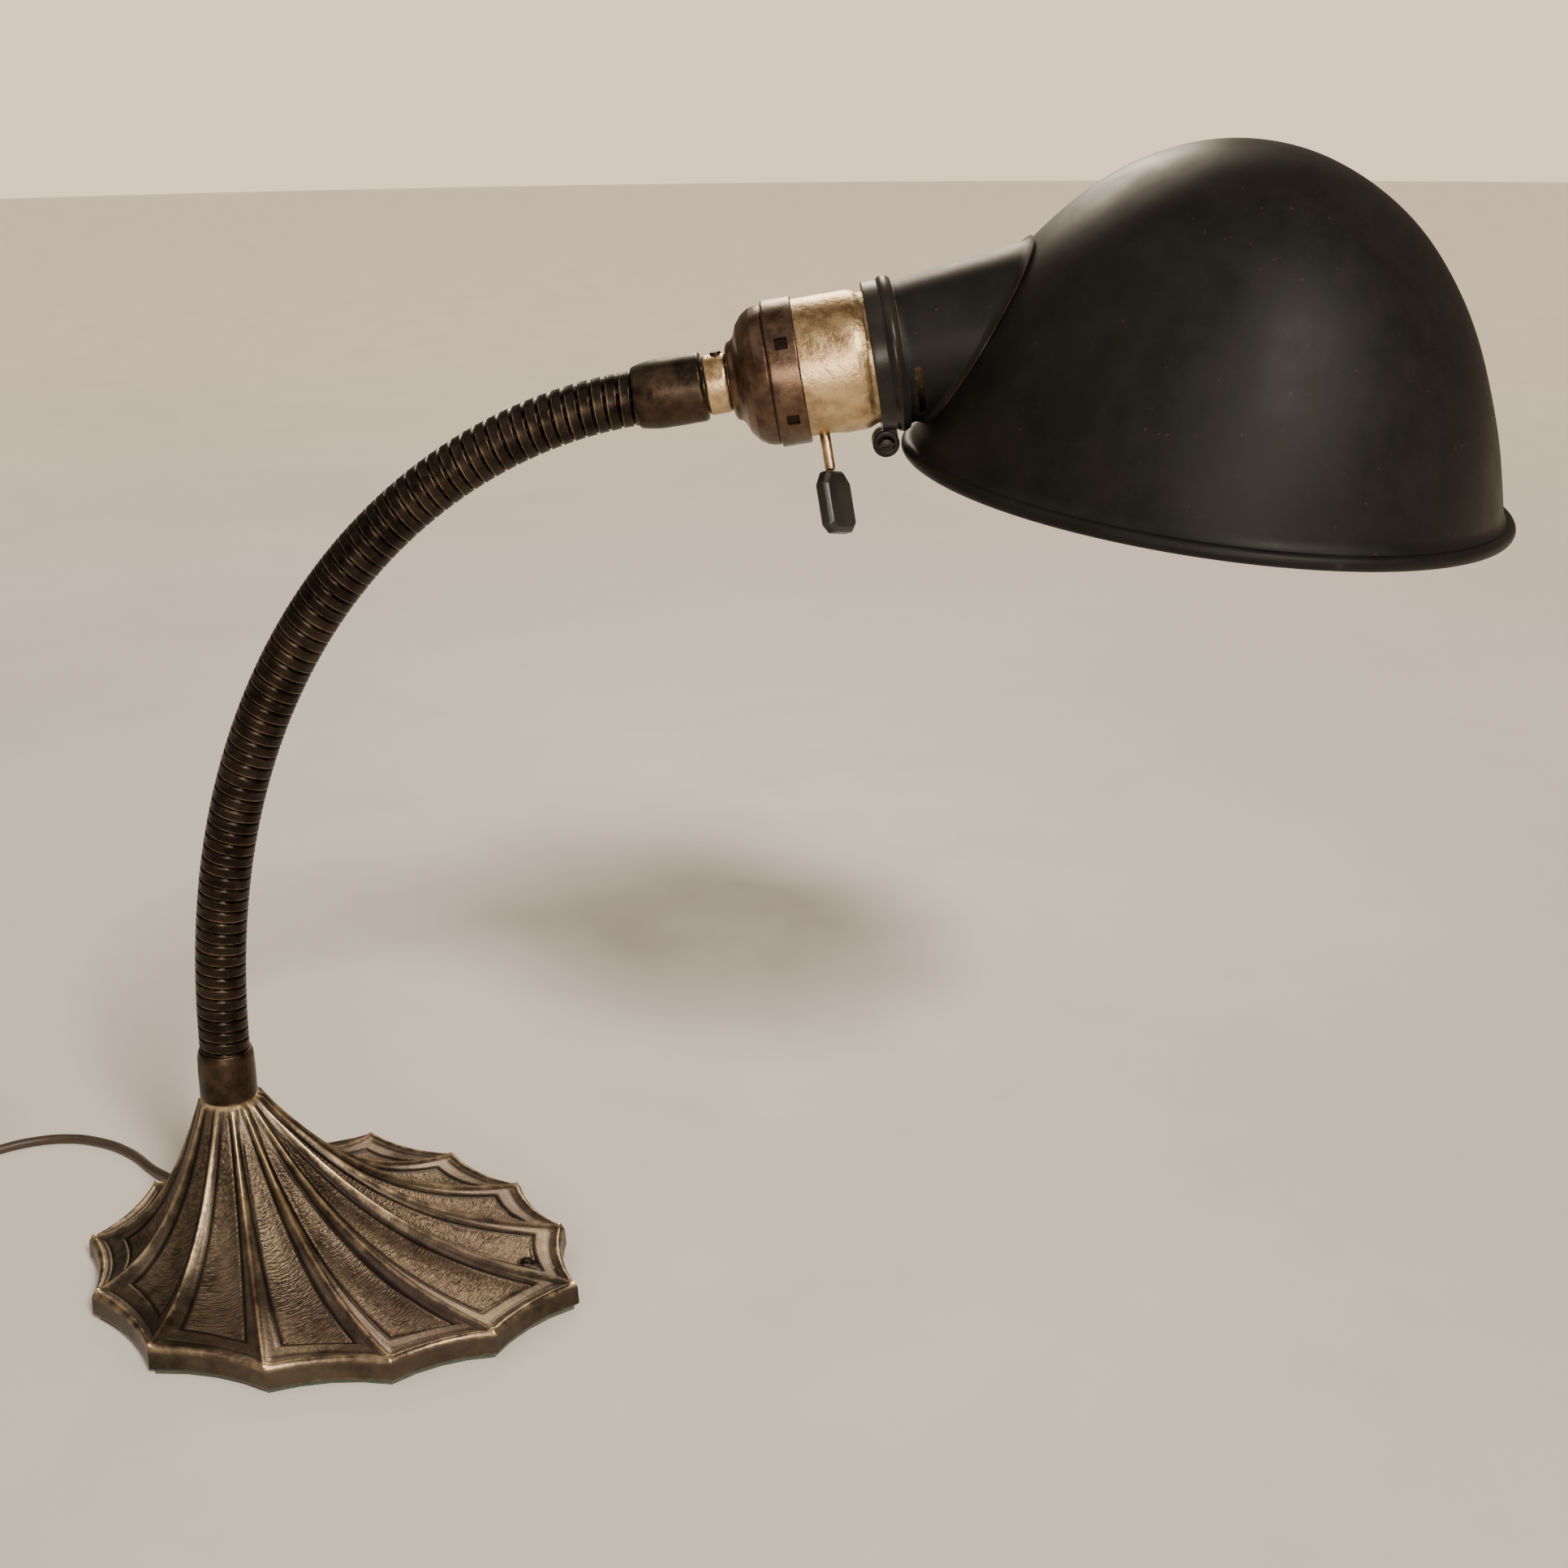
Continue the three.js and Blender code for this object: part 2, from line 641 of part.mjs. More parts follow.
const screwHeadAt = earHalf + gap;
const clampScrewBlank = lathe([[0, -screwHeadAt - 3.2], [clamp.screwR, -screwHeadAt - 3.2],
  [clamp.screwR, screwHeadAt], [clamp.screwHeadR, screwHeadAt], [clamp.screwHeadR, screwHeadAt + 0.8],
  [1.6, screwHeadAt + 1.5], [0, screwHeadAt + 1.7]], 20);
const clampScrew = cut(clampScrewBlank, block(-0.4, 0.4, -4, 4, screwHeadAt + 0.9, screwHeadAt + 4));
clampScrew.rotateX(-Math.PI / 2).translate(-clamp.drop, 0, clamp.earAt);
piece('clamp_screw', onShade(clampScrew), ...steel);

const clampNut = cut(
  block(-2.1, 2.1, -2.1, 2.1, -screwHeadAt - 2.4, -screwHeadAt),
  rod(clamp.screwR + 0.1, -12, 0, 20),
);
piece('clamp_nut', onShade(clampNut.rotateX(-Math.PI / 2).translate(-clamp.drop, 0, clamp.earAt)), ...steel);

function coneR(z) {
  return cone.r0 + ((cone.r1 - cone.r0) * (z - cone.start)) / (cone.end - cone.start);
}

// Outline of the dome from its crown to the rim, as [radius, height] pairs.
function domeProfile(inset, count) {
  const rows = [];
  for (let i = 0; i <= count; i += 1) {
    const a = (Math.PI / 2) * (1 - i / count);
    const flare = (shade.r - shade.crownR) * (1 - Math.sin(a)) ** 2;
    const r = (shade.crownR - inset + flare) * Math.cos(a);
    rows.push([i === 0 ? 0 : r, (shade.high - inset) * Math.sin(a)]);
  }
  return rows;
}

// Carry a dome shape to its place, with the rest roll about the socket axis.
function onDome(geometry) {
  const c = neckAt(neck.length);
  const axis = new THREE.Vector3(Math.cos(c.h), 0, Math.sin(c.h));
  geometry.rotateY(shade.pitch).translate(shade.x - c.x, 0, shade.z - c.z);
  geometry.applyMatrix4(new THREE.Matrix4().makeRotationAxis(axis, shade.roll));
  return geometry.translate(c.x, 0, c.z);
}

const beadRing = [];
for (let i = 0; i <= 6; i += 1) {
  const a = Math.PI / 2 - i * (Math.PI / 5);
  beadRing.push([shade.r + 1.2 + shade.bead * Math.cos(a), shade.bead * Math.sin(a)]);
}
const domeOuter = domeProfile(0, 14).filter(([, z]) => z > shade.bead + 0.3);
const domeInner = domeProfile(shade.wall, 14).filter(([, z]) => z > shade.bead + 0.3).reverse();
const domeShell = lathe([...domeOuter, ...beadRing, ...domeInner], shade.segments);
const coneRoom = lathe([[0, 55], [clamp.beadR + 0.9, 55], [clamp.beadR + 0.9, clamp.end + 0.4],
  [coneR(cone.start) + gap, clamp.end + 0.4], [coneR(cone.end) + gap, cone.end], [0, cone.end]], 48);
piece('shade_bowl', cut(onDome(domeShell), onShade(coneRoom)), ...enamel);

const coneShell = hollow(
  [[coneR(cone.start), cone.start], [coneR(cone.end), cone.end]],
  [[coneR(cone.start) - cone.wall, cone.start], [coneR(cone.end) - cone.wall, cone.end]],
  48,
);
const domeRoom = onDome(lathe([...domeProfile(-gap, 14), [shade.r + 4, 0], [shade.r + 4, -6], [0, -6]],
  shade.segments));
const coneSlot = block(slot.low, slot.high, 8, 30, slot.start, slot.end);
piece('shade_neck', cut(onShade(cut(coneShell, coneSlot)), domeRoom), ...enamel);

// ---------------------------------------------------------------- cord

function floorPoint(x, y) {
  return new THREE.Vector3(x, y, cord.r + 0.1);
}

const way = exitFrame();
const mouth = new THREE.Vector3(way.at.x, way.at.y, exit.z).addScaledVector(
  new THREE.Vector3(way.outward.x, way.outward.y, 0), -9);
const outside = new THREE.Vector3(way.at.x, way.at.y, exit.z).addScaledVector(
  new THREE.Vector3(way.outward.x, way.outward.y, -0.12), 4);
const route = [
  mouth,
  outside,
  floorPoint(-41, 43),
  floorPoint(-51, 53),
  floorPoint(-63, 60),
  floorPoint(-75, 62.5),
  floorPoint(-87, 60),
  floorPoint(-97, 54.5),
  new THREE.Vector3(coil.x + 20.2, coil.y - 16.8, coil.bottom + cord.r + 0.1),
];
piece('cord_run', tubeAlong(route, cord.r, cord.sides, cord.steps), ...lead);

const inner = coil.meanR - coil.halfWide;
const outer = coil.meanR + coil.halfWide;
const coilRing = hollow(
  [[outer - 1.2, coil.bottom], [outer, coil.bottom + 1.2], [outer, coil.bottom + coil.high - 1.2],
    [outer - 1.2, coil.bottom + coil.high]],
  [[inner + 1.2, coil.bottom], [inner, coil.bottom + 1.2], [inner, coil.bottom + coil.high - 1.2],
    [inner + 1.2, coil.bottom + coil.high]],
  40,
);
piece('cord_coil', coilRing.translate(coil.x, coil.y, 0), ...lead);

// The tie wraps the bundle on the side away from the lamp.
const tieLow = coil.bottom - gap;
const tieHigh = coil.bottom + coil.high + gap;
const tieIn = inner - gap;
const tieOut = outer + gap;
const tieLoop = cut(
  block(-tieOut - tie.thick, -tieIn + tie.thick, -tie.wide / 2, tie.wide / 2, tieLow - tie.thick,
    tieHigh + tie.thick),
  block(-tieOut - 0.2, -tieIn + 0.35, -tie.wide, tie.wide, tieLow, tieHigh),
);
piece('coil_tie', tieLoop.translate(coil.x, coil.y, 0), ...rubber);

const tailY = coil.y - 21;
const tailZ = plug.high / 2;
const tailStart = coil.x - Math.sqrt(outer ** 2 - (coil.y - tailY - cord.r) ** 2) - 0.6;
const plugEnd = coil.x - outer - 4;
const tail = rod(cord.r, 0, tailStart - plugEnd - gap, cord.sides).rotateY(-Math.PI / 2);
piece('cord_tail', tail.translate(tailStart, tailY, tailZ), ...lead);

const plugBody = new RoundedBoxGeometry(plug.long, plug.wide, plug.high, 2, 2.5);
plugBody.translate(plugEnd - plug.long / 2, tailY, tailZ);
const bladePocket = (side, grow, from, to) => block(
  plugEnd - to,
  plugEnd - from,
  tailY + side * plug.pitch / 2 - plug.bladeThick / 2 - grow,
  tailY + side * plug.pitch / 2 + plug.bladeThick / 2 + grow,
  tailZ - plug.bladeWide / 2 - grow,
  tailZ + plug.bladeWide / 2 + grow,
);
const pocketFrom = plug.long - plug.bladeRoot;
const bladeTip = plug.long + plug.bladeLong;
const plugCut = cut(
  plugBody,
  bladePocket(-1, gap, pocketFrom - gap, plug.long + 1),
  bladePocket(1, gap, pocketFrom - gap, plug.long + 1),
);
piece('plug_body', plugCut, ...phenolic);
piece('plug_blade_a', bladePocket(-1, 0, pocketFrom, bladeTip), ...brass);
piece('plug_blade_b', bladePocket(1, 0, pocketFrom, bladeTip), ...brass);

export default object;
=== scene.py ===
"""Looks of the gooseneck desk lamp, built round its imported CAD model.

Shapes are written in millimetres, in the CAD's frame, and become metres when a mesh is made.
"""

import math

import bmesh
import bpy
import numpy as np
from mathutils import Matrix, Vector, noise


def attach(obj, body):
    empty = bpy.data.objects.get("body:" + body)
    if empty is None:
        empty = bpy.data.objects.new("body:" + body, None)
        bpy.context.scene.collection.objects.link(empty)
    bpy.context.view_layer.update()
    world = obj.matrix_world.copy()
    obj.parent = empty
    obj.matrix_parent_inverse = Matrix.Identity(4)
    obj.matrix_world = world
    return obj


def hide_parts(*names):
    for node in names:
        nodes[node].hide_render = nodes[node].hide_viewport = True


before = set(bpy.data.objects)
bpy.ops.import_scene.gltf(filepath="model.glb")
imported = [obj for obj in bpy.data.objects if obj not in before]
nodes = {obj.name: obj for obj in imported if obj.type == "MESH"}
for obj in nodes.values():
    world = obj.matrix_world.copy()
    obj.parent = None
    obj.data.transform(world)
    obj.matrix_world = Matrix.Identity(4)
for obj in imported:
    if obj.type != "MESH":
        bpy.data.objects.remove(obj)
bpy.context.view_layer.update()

MM = 0.001
DEG = math.pi / 180

# ---------------------------------------------------------------- sizes shared with the CAD

RIM = np.array([
    [100, -31.5], [93.5, -2.5], [78, 20.5], [55.5, 39], [27.5, 52.5], [-4, 46], [-34.5, 24],
    [-44, -6], [-34, -34], [-11, -59], [22, -68], [54.5, -65], [80.5, -53.5],
])
CORNERS = len(RIM)
SAG = 2.3
FLOOR, RIM_TOP, HUB_TOP, HUB_R = 1.8, 8.0, 52.0, 8.2
FLARE, RIB, WALL, HOLLOW, CEILING = 2.6, 1.3, 6.0, 0.55, 34.0
BORE_R = 4.8

EXIT_EDGE, EXIT_ALONG, EXIT_Z = 5, 0.8, 4.8
CORD_R, CORD_LENGTH = 1.5, 1.8
COIL_X, COIL_Y, COIL_BOTTOM = -128.0, 66.0, 1.3
PLUG_END, PLUG_Y, PLUG_Z = -156.8, 45.0, 6.5

NECK_X, NECK_Z, NECK_LONG, NECK_SEGMENTS = 0.3, 66.5, 235.5, 10
NECK_START, NECK_END, NECK_TIGHTEN = 88.5 * DEG, 9 * DEG, 0.528
NECK_R, PITCH, TUCK_LOW, TUCK_HIGH = 6.9, 3.36, 4.0, 5.5
LINK_TUCK, LINK_DROP = 1.6, 0.28

BAND_R = 18.1
KEY_AT, KEY_TILT, KEY_SPIN, KEY_OUTER = 46.2, 22 * DEG, 38 * DEG, 26.2
SLOT_LONG, SLOT_WIDE, SLOT_SHIFT = 9.6, 9.4, -3.2
CLAMP_START, CLAMP_END, CLAMP_DROP, EAR_AT, EAR_R, EAR_HALF = 60.6, 67.8, 21.4, 61.0, 3.4, 3.5
SHADE_X, SHADE_Z, SHADE_PITCH, SHADE_ROLL = 265.8, 224.5, 6.5 * DEG, 2.8 * DEG
SHADE_R, CROWN_R, SHADE_HIGH, SHADE_WALL, BEAD = 74.0, 67.0, 82.0, 1.0, 1.8
CONE_START, CONE_END, CONE_R0, CONE_R1, CONE_WALL = 67.9, 116.0, 17.2, 23.0, 0.8


def smooth(t):
    t = np.clip(t, 0, 1)
    return t * t * (3 - 2 * t)


def bump_at(distance, width):
    """A bell curve, 1 where distance is 0."""
    return np.exp(-((distance / width) ** 2))


# ---------------------------------------------------------------- camera


def make_camera():
    pitch, roll = 20 * DEG, -0.012
    forward = Vector((0, math.cos(pitch), -math.sin(pitch)))
    right = Vector((1, 0, 0))
    up = right.cross(forward)
    x = right * math.cos(roll) + up * math.sin(roll)
    y = up * math.cos(roll) - right * math.sin(roll)
    data = bpy.data.cameras.new("camera")
    data.lens, data.sensor_width = 44.72, 36
    data.clip_start, data.clip_end = 0.01, 50
    camera = bpy.data.objects.new("camera", data)
    turn = Matrix((x, y, -forward)).transposed().to_4x4()
    camera.matrix_world = Matrix.Translation((0.1585, -0.4903, 0.3217)) @ turn
    bpy.context.scene.collection.objects.link(camera)
    bpy.context.scene.camera = camera


make_camera()

# ---------------------------------------------------------------- outline of the base


def rim_points(turn):
    """Points of the scalloped rim; turn counts the corners."""
    turn = np.asarray(turn, float)
    k = np.floor(turn).astype(int)
    f = (turn - k)[..., None]
    a, b = RIM[k % CORNERS], RIM[(k + 1) % CORNERS]
    side = b - a
    inward = np.stack([-side[..., 1], side[..., 0]], -1)
    inward /= np.linalg.norm(inward, axis=-1, keepdims=True)
    return a + side * f + inward * 4 * SAG * f * (1 - f)


def exit_frame():
    a, b = RIM[EXIT_EDGE], RIM[EXIT_EDGE + 1]
    outward = np.array([b[1] - a[1], a[0] - b[0]])
    return rim_points(EXIT_EDGE + EXIT_ALONG), outward / np.linalg.norm(outward)


# ---------------------------------------------------------------- cord

# The route's points, the same as in the CAD, up to the coil.
FLOOR_ROUTE = [(-41, 43), (-51, 53), (-63, 60), (-75, 62.5), (-87, 60), (-97, 54.5)]


def coil_points():
    """Four turns a layer, each a step of one cord further in or out, then up to the next layer."""
    step, layer_step, inner_r = 3.3, 3.2, 13.05
    per_turn, turns = 24, 15 + 19 / 360
    points = []
    for i in range(round(turns * per_turn) + 1):
        t = min(i / per_turn, turns)
        layer, within = int(t // 4), t % 4
        ring, part = int(within), within % 1
        shift = smooth((part - 0.6) / 0.4) if ring < 3 else 0.0
        place = ring + shift
        climb = smooth((part - 0.5) / 0.3) if ring == 3 else 0.0
        r = inner_r + step * (3 - place if layer % 2 == 0 else place)
        z = COIL_BOTTOM + CORD_R + layer_step * (layer + climb)
        angle = (-71 - 360 * t) * DEG
        points.append((COIL_X + r * math.cos(angle), COIL_Y + r * math.sin(angle), z))
    return points


def make_cord():
    at, outward = exit_frame()
    mouth = (*(at - 9 * outward), EXIT_Z)
    outside = (*(at + 4 * outward), EXIT_Z - 0.48)
    route = [mouth, outside]
    route += [(x, y, CORD_R + 0.1) for x, y in FLOOR_ROUTE]
    route.append((COIL_X + 20.2, COIL_Y - 16.8, COIL_BOTTOM + CORD_R + 0.1))
    route += coil_points()
    route += [(-136, 43.3, 12.3), (-142, 44.1, 11.3), (-148, 44.8, 8.6), (-153.5, 45, 6.8)]
    route.append((PLUG_END - 3, PLUG_Y, PLUG_Z))
    curve = bpy.data.curves.new("cord", "CURVE")
    curve.dimensions = "3D"
    curve.bevel_depth, curve.bevel_resolution = 1.0, 5
    curve.resolution_u = 6
    curve.use_fill_caps = True
    spline = curve.splines.new("BEZIER")
    spline.bezier_points.add(len(route) - 1)
    for knot, point in zip(spline.bezier_points, route):
        knot.co = Vector(point) * MM
        knot.radius = CORD_R * MM
        knot.handle_left_type = knot.handle_right_type = "AUTO"
    cord = bpy.data.objects.new("cord", curve)
    bpy.context.scene.collection.objects.link(cord)
    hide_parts("cord_run", "cord_coil", "cord_tail")
    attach(cord, "base")
    return cord, Vector((*at, EXIT_Z)) * MM


cord, cord_exit = make_cord()

# ---------------------------------------------------------------- node materials


class Finish:
    """A Principled material whose nodes are added by short calls."""

    def __init__(self, name, **sockets):
        self.material = bpy.data.materials.new(name)
        self.material.use_nodes = True
        self.tree = self.material.node_tree
        self.shader = self.tree.nodes["Principled BSDF"]
        for socket, value in sockets.items():
            self.shader.inputs[socket.replace("_", " ")].default_value = value
        self.place = self.node("ShaderNodeTexCoord").outputs["Object"]

    def node(self, kind, **settings):
        made = self.tree.nodes.new(kind)
        for key, value in settings.items():
            setattr(made, key, value)
        return made

    def put(self, value, socket):
        if isinstance(value, bpy.types.NodeSocket):
            self.tree.links.new(value, socket)
        else:
            socket.default_value = value

    def noise(self, scale, detail=4.0, rough=0.55, place=None, stretch=None):
        made = self.node("ShaderNodeTexNoise")
        place = self.place if place is None else place
        if stretch:
            mapping = self.node("ShaderNodeMapping")
            mapping.inputs["Scale"].default_value = stretch
            self.put(place, mapping.inputs["Vector"])
            place = mapping.outputs["Vector"]
        self.put(place, made.inputs["Vector"])
        made.inputs["Scale"].default_value = scale
        made.inputs["Detail"].default_value = detail
        made.inputs["Roughness"].default_value = rough
        return made.outputs["Fac"]

    def math(self, kind, a, b=0.0):
        made = self.node("ShaderNodeMath", operation=kind)
        self.put(a, made.inputs[0])
        self.put(b, made.inputs[1])
        return made.outputs[0]

    def rub_and_light(self, cloud, gain):
        """The marked wear, which also carries painted highlights on the neck's lips and the base's crests,
        broken up by cloud.
        """
        drift = self.math("MULTIPLY", self.math("SUBTRACT", cloud, 0.5), gain)
        return self.math("ADD", self.attribute("wear_and_highlight"), drift)

    def blend(self, a, b, share):
        return self.math("ADD", self.math("MULTIPLY", a, share), self.math("MULTIPLY", b, 1 - share))

    def span(self, value, low, high, to_low=0.0, to_high=1.0):
        made = self.node("ShaderNodeMapRange", clamp=True)
        for socket, number in zip(made.inputs, (value, low, high, to_low, to_high)):
            self.put(number, socket)
        return made.outputs[0]

    def mix(self, share, a, b):
        made = self.node("ShaderNodeMix", data_type="RGBA")
        self.put(share, made.inputs["Factor"])
        colours = [s for s in made.inputs if s.type == "RGBA"]
        self.put(a, colours[0])
        self.put(b, colours[1])
        return [s for s in made.outputs if s.type == "RGBA"][0]

    def attribute(self, name):
        return self.node("ShaderNodeAttribute", attribute_name=name).outputs["Fac"]

    def bump(self, height, depth, normal=None):
        """Bump whose height 0 to 1 is worth depth, in millimetres."""
        made = self.node("ShaderNodeBump")
        made.inputs["Strength"].default_value = 1.0
        made.inputs["Distance"].default_value = depth * MM
        self.put(height, made.inputs["Height"])
        if normal is not None:
            self.put(normal, made.inputs["Normal"])
        return made.outputs["Normal"]

    def surface(self, colour, rough, normal):
        self.put(colour, self.shader.inputs["Base Color"])
        self.put(rough, self.shader.inputs["Roughness"])
        self.put(normal, self.shader.inputs["Normal"])
        return self.material


def rgb(red, green, blue):
    return (red, green, blue, 1.0)


def aged_metal(name, dark, mid, worn_and_lit, rough, metallic=1.0, grain=700, depth=0.04, rest=False, worn_from=0.35):
    """Patina in drifts and specks, painted shade near black in marked grooves and recesses, rubbed bright
    where wear is marked: worn metal, and a painted highlight on the neck's lips.
    """
    f = Finish(name, Metallic=metallic)
    if rest:
        f.place = f.node("ShaderNodeAttribute", attribute_name="rest").outputs["Vector"]
    drift = f.noise(55, 5, 0.6)
    speck = f.noise(grain, 3, 0.6)
    cloud = f.noise(220, 4, 0.65)
    colour = f.mix(f.span(f.blend(drift, cloud, 0.55), 0.38, 0.6), dark, mid)
    # Rubbed bright: worn edges, and on the neck a painted highlight along each band's lips.
    rubbed_and_lit = f.span(f.rub_and_light(cloud, 1.1), worn_from, worn_from + 0.55)
    colour = f.mix(rubbed_and_lit, colour, worn_and_lit)
    # Painted shade: near black in the neck's grooves, the stamped dimples and on the shell inside the clamp.
    shade_paint = f.span(f.attribute("painted_shade"), 0.1, 0.8)
    colour = f.mix(f.math("MULTIPLY", shade_paint, 0.85), colour, rgb(0.012, 0.009, 0.007))
    colour = f.mix(f.span(speck, 0.62, 0.7, 0, 0.55), colour, dark)
    low, high = rough
    gloss = f.span(f.math("ADD", cloud, f.math("MULTIPLY", rubbed_and_lit, -0.35)), 0.15, 0.7, low, high)
    normal = f.bump(speck, depth)
    normal = f.bump(cloud, depth * 2.5, normal)
    return f.surface(colour, gloss, normal)


def cast_finish():
    """Bronze-plated casting: cross-hatched panels, golden ribs of worn plating with a painted highlight, and
    painted shade near black in the grooves, on the rim wall and underneath.
    """
    f = Finish("cast_bronze", Metallic=0.9)
    drift = f.noise(38, 5, 0.6)
    cloud = f.noise(190, 4, 0.65)
    grit = f.noise(1100, 3, 0.6)
    tone = f.span(f.blend(drift, cloud, 0.6), 0.4, 0.6)
    colour = f.mix(tone, rgb(0.045, 0.035, 0.026), rgb(0.14, 0.108, 0.074))
    plum = f.noise(24, 3, 0.5, stretch=(1, 1, 1.6))
    colour = f.mix(f.span(plum, 0.52, 0.66, 0, 0.5), colour, rgb(0.07, 0.045, 0.045))
    # Worn plating, with a painted highlight along the rib crests and the rim bead.
    rubbed_and_lit = f.span(f.rub_and_light(cloud, 1.2), 0.32, 0.95)
    colour = f.mix(rubbed_and_lit, colour, rgb(0.52, 0.38, 0.22))
    uv = f.node("ShaderNodeUVMap", uv_map="UVMap").outputs["UV"]
    comb = f.noise(1.0, 2, 0.5, place=uv, stretch=(0.35, 1.9, 1))
    panel = f.attribute("panel")
    ridges = f.span(comb, 0.42, 0.62)
    colour = f.mix(f.math("MULTIPLY", f.math("MULTIPLY", panel, ridges), 0.32), colour, rgb(0.27, 0.19, 0.11))
    # Painted shade: near black in the grooves, the pit, on the rim wall and underneath.
    shade_paint = f.span(f.attribute("painted_shade"), 0.1, 0.85)
    colour = f.mix(f.math("MULTIPLY", shade_paint, 0.85), colour, rgb(0.010, 0.007, 0.006))
    gloss = f.span(f.math("ADD", cloud, f.math("MULTIPLY", rubbed_and_lit, -0.25)), 0.15, 0.7, 0.27, 0.52)
    normal = f.bump(f.math("MULTIPLY", panel, comb), 0.5)
    normal = f.bump(grit, 0.07, normal)
    normal = f.bump(cloud, 0.16, normal)
    return f.surface(colour, gloss, normal)


def enamel_finish(name, dark, pale, rough, worn_edge):
    """Matt black paint: faint dents, dust, rubbed patches and chips along the edges."""
    f = Finish(name, Metallic=0.0)
    f.shader.inputs["Specular IOR Level"].default_value = 0.16
    broad = f.noise(14, 3, 0.5)
    cloud = f.noise(90, 5, 0.65)
    grain = f.noise(1500, 2, 0.5)
    dust = f.noise(700, 2, 0.4)
    colour = f.mix(f.span(cloud, 0.35, 0.7), dark, pale)
    colour = f.mix(f.span(dust, 0.72, 0.78, 0, 0.12), colour, rgb(0.16, 0.13, 0.10))
    colour = f.mix(f.span(f.rub_and_light(cloud, 1.4), 0.7, 1.15), colour, worn_edge)
    low, high = rough
    gloss = f.span(f.blend(broad, cloud, 0.5), 0.38, 0.62, low, high)
    normal = f.bump(broad, 1.2)
    normal = f.bump(grain, 0.012, normal)
    normal = f.bump(cloud, 0.05, normal)
    return f.surface(colour, gloss, normal)


def moulded_finish(name, dark, pale, rough, swirl=60, depth=0.02, specular=0.5):
    f = Finish(name, Metallic=0.0)
    f.shader.inputs["Specular IOR Level"].default_value = specular
    flow = f.noise(swirl, 4, 0.6, stretch=(1, 1, 0.35))
    grain = f.noise(1300, 2, 0.5)
    colour = f.mix(f.span(flow, 0.4, 0.65), dark, pale)
    colour = f.mix(f.span(f.attribute("wear_and_highlight"), 0.35, 1.1, 0, 0.5), colour, rgb(0.12, 0.10, 0.08))
    low, high = rough
    gloss = f.span(flow, 0.3, 0.7, low, high)
    return f.surface(colour, gloss, f.bump(grain, depth))


def felt_finish():
    f = Finish("felt", Metallic=0.0)
    f.shader.inputs["Sheen Weight"].default_value = 0.4
    fibre = f.noise(900, 5, 0.75, stretch=(1, 0.5, 1))
    blotch = f.noise(60, 4, 0.6)
    colour = f.mix(f.span(fibre, 0.3, 0.7), rgb(0.018, 0.03, 0.018), rgb(0.06, 0.085, 0.05))
    colour = f.mix(f.span(blotch, 0.5, 0.7, 0, 0.5), colour, rgb(0.05, 0.05, 0.035))
    return f.surface(colour, f.span(fibre, 0.2, 0.8, 0.85, 1.0), f.bump(fibre, 0.3))


def cord_finish():
    f = Finish("cord_brown", Metallic=0.0)
    f.shader.inputs["Specular IOR Level"].default_value = 0.45
    drift = f.noise(45, 4, 0.6)
    grain = f.noise(900, 3, 0.6)
    colour = f.mix(f.span(drift, 0.35, 0.65), rgb(0.028, 0.017, 0.011), rgb(0.06, 0.037, 0.022))
    colour = f.mix(f.span(grain, 0.6, 0.75, 0, 0.4), colour, rgb(0.10, 0.07, 0.045))
    return f.surface(colour, f.span(drift, 0.3, 0.7, 0.38, 0.55), f.bump(grain, 0.03))


def glass_finish():
    f = Finish("bulb_glass", Metallic=0.0, Roughness=0.25, IOR=1.48)
    f.shader.inputs["Coat Weight"].default_value = 0.6
    cloud = f.noise(60, 4, 0.6)
    grain = f.noise(1600, 2, 0.5)
    colour = f.mix(f.span(cloud, 0.35, 0.65), rgb(0.80, 0.78, 0.72), rgb(0.90, 0.88, 0.83))
    return f.surface(colour, f.span(cloud, 0.3, 0.7, 0.16, 0.3), f.bump(grain, 0.01))


def floor_finish():
    f = Finish("floor", Metallic=0.0)
    broad = f.noise(3, 4, 0.5)
    cloud = f.noise(18, 6, 0.6)
    grain = f.noise(420, 3, 0.6)
    scuff = f.noise(34, 8, 0.72, stretch=(1, 2.4, 1))
    colour = f.mix(f.span(broad, 0.35, 0.65), rgb(0.79, 0.74, 0.675), rgb(0.86, 0.81, 0.74))
    colour = f.mix(f.span(cloud, 0.5, 0.75, 0, 0.35), colour, rgb(0.73, 0.675, 0.605))
    distance = f.node("ShaderNodeVectorMath", operation="LENGTH")
    f.put(f.place, distance.inputs[0])
    colour = f.mix(f.span(distance.outputs["Value"], 0.5, 2.2), colour, rgb(0.96, 0.81, 0.63))
    colour = f.mix(f.span(scuff, 0.70, 0.76, 0, 0.3), colour, rgb(0.36, 0.33, 0.29))
    return f.surface(colour, f.span(cloud, 0.3, 0.7, 0.55, 0.75), f.bump(grain, 0.05))


BRONZE = aged_metal("bronze", rgb(0.022, 0.016, 0.012), rgb(0.07, 0.048, 0.033),
                      rgb(0.30, 0.20, 0.115), (0.28, 0.48))
NECK_BRONZE = aged_metal("neck_bronze", rgb(0.013, 0.010, 0.008), rgb(0.04, 0.029, 0.021),
                         rgb(0.26, 0.18, 0.11), (0.28, 0.46), rest=True, worn_from=0.5)
CAP_BRONZE = aged_metal("cap_bronze", rgb(0.07, 0.043, 0.032), rgb(0.165, 0.108, 0.068),
                        rgb(0.36, 0.25, 0.14), (0.24, 0.44), depth=0.035)
BRASS = aged_metal("aged_brass", rgb(0.27, 0.18, 0.095), rgb(0.58, 0.42, 0.23), rgb(0.76, 0.60, 0.38),
                   (0.26, 0.46), depth=0.10, grain=900)
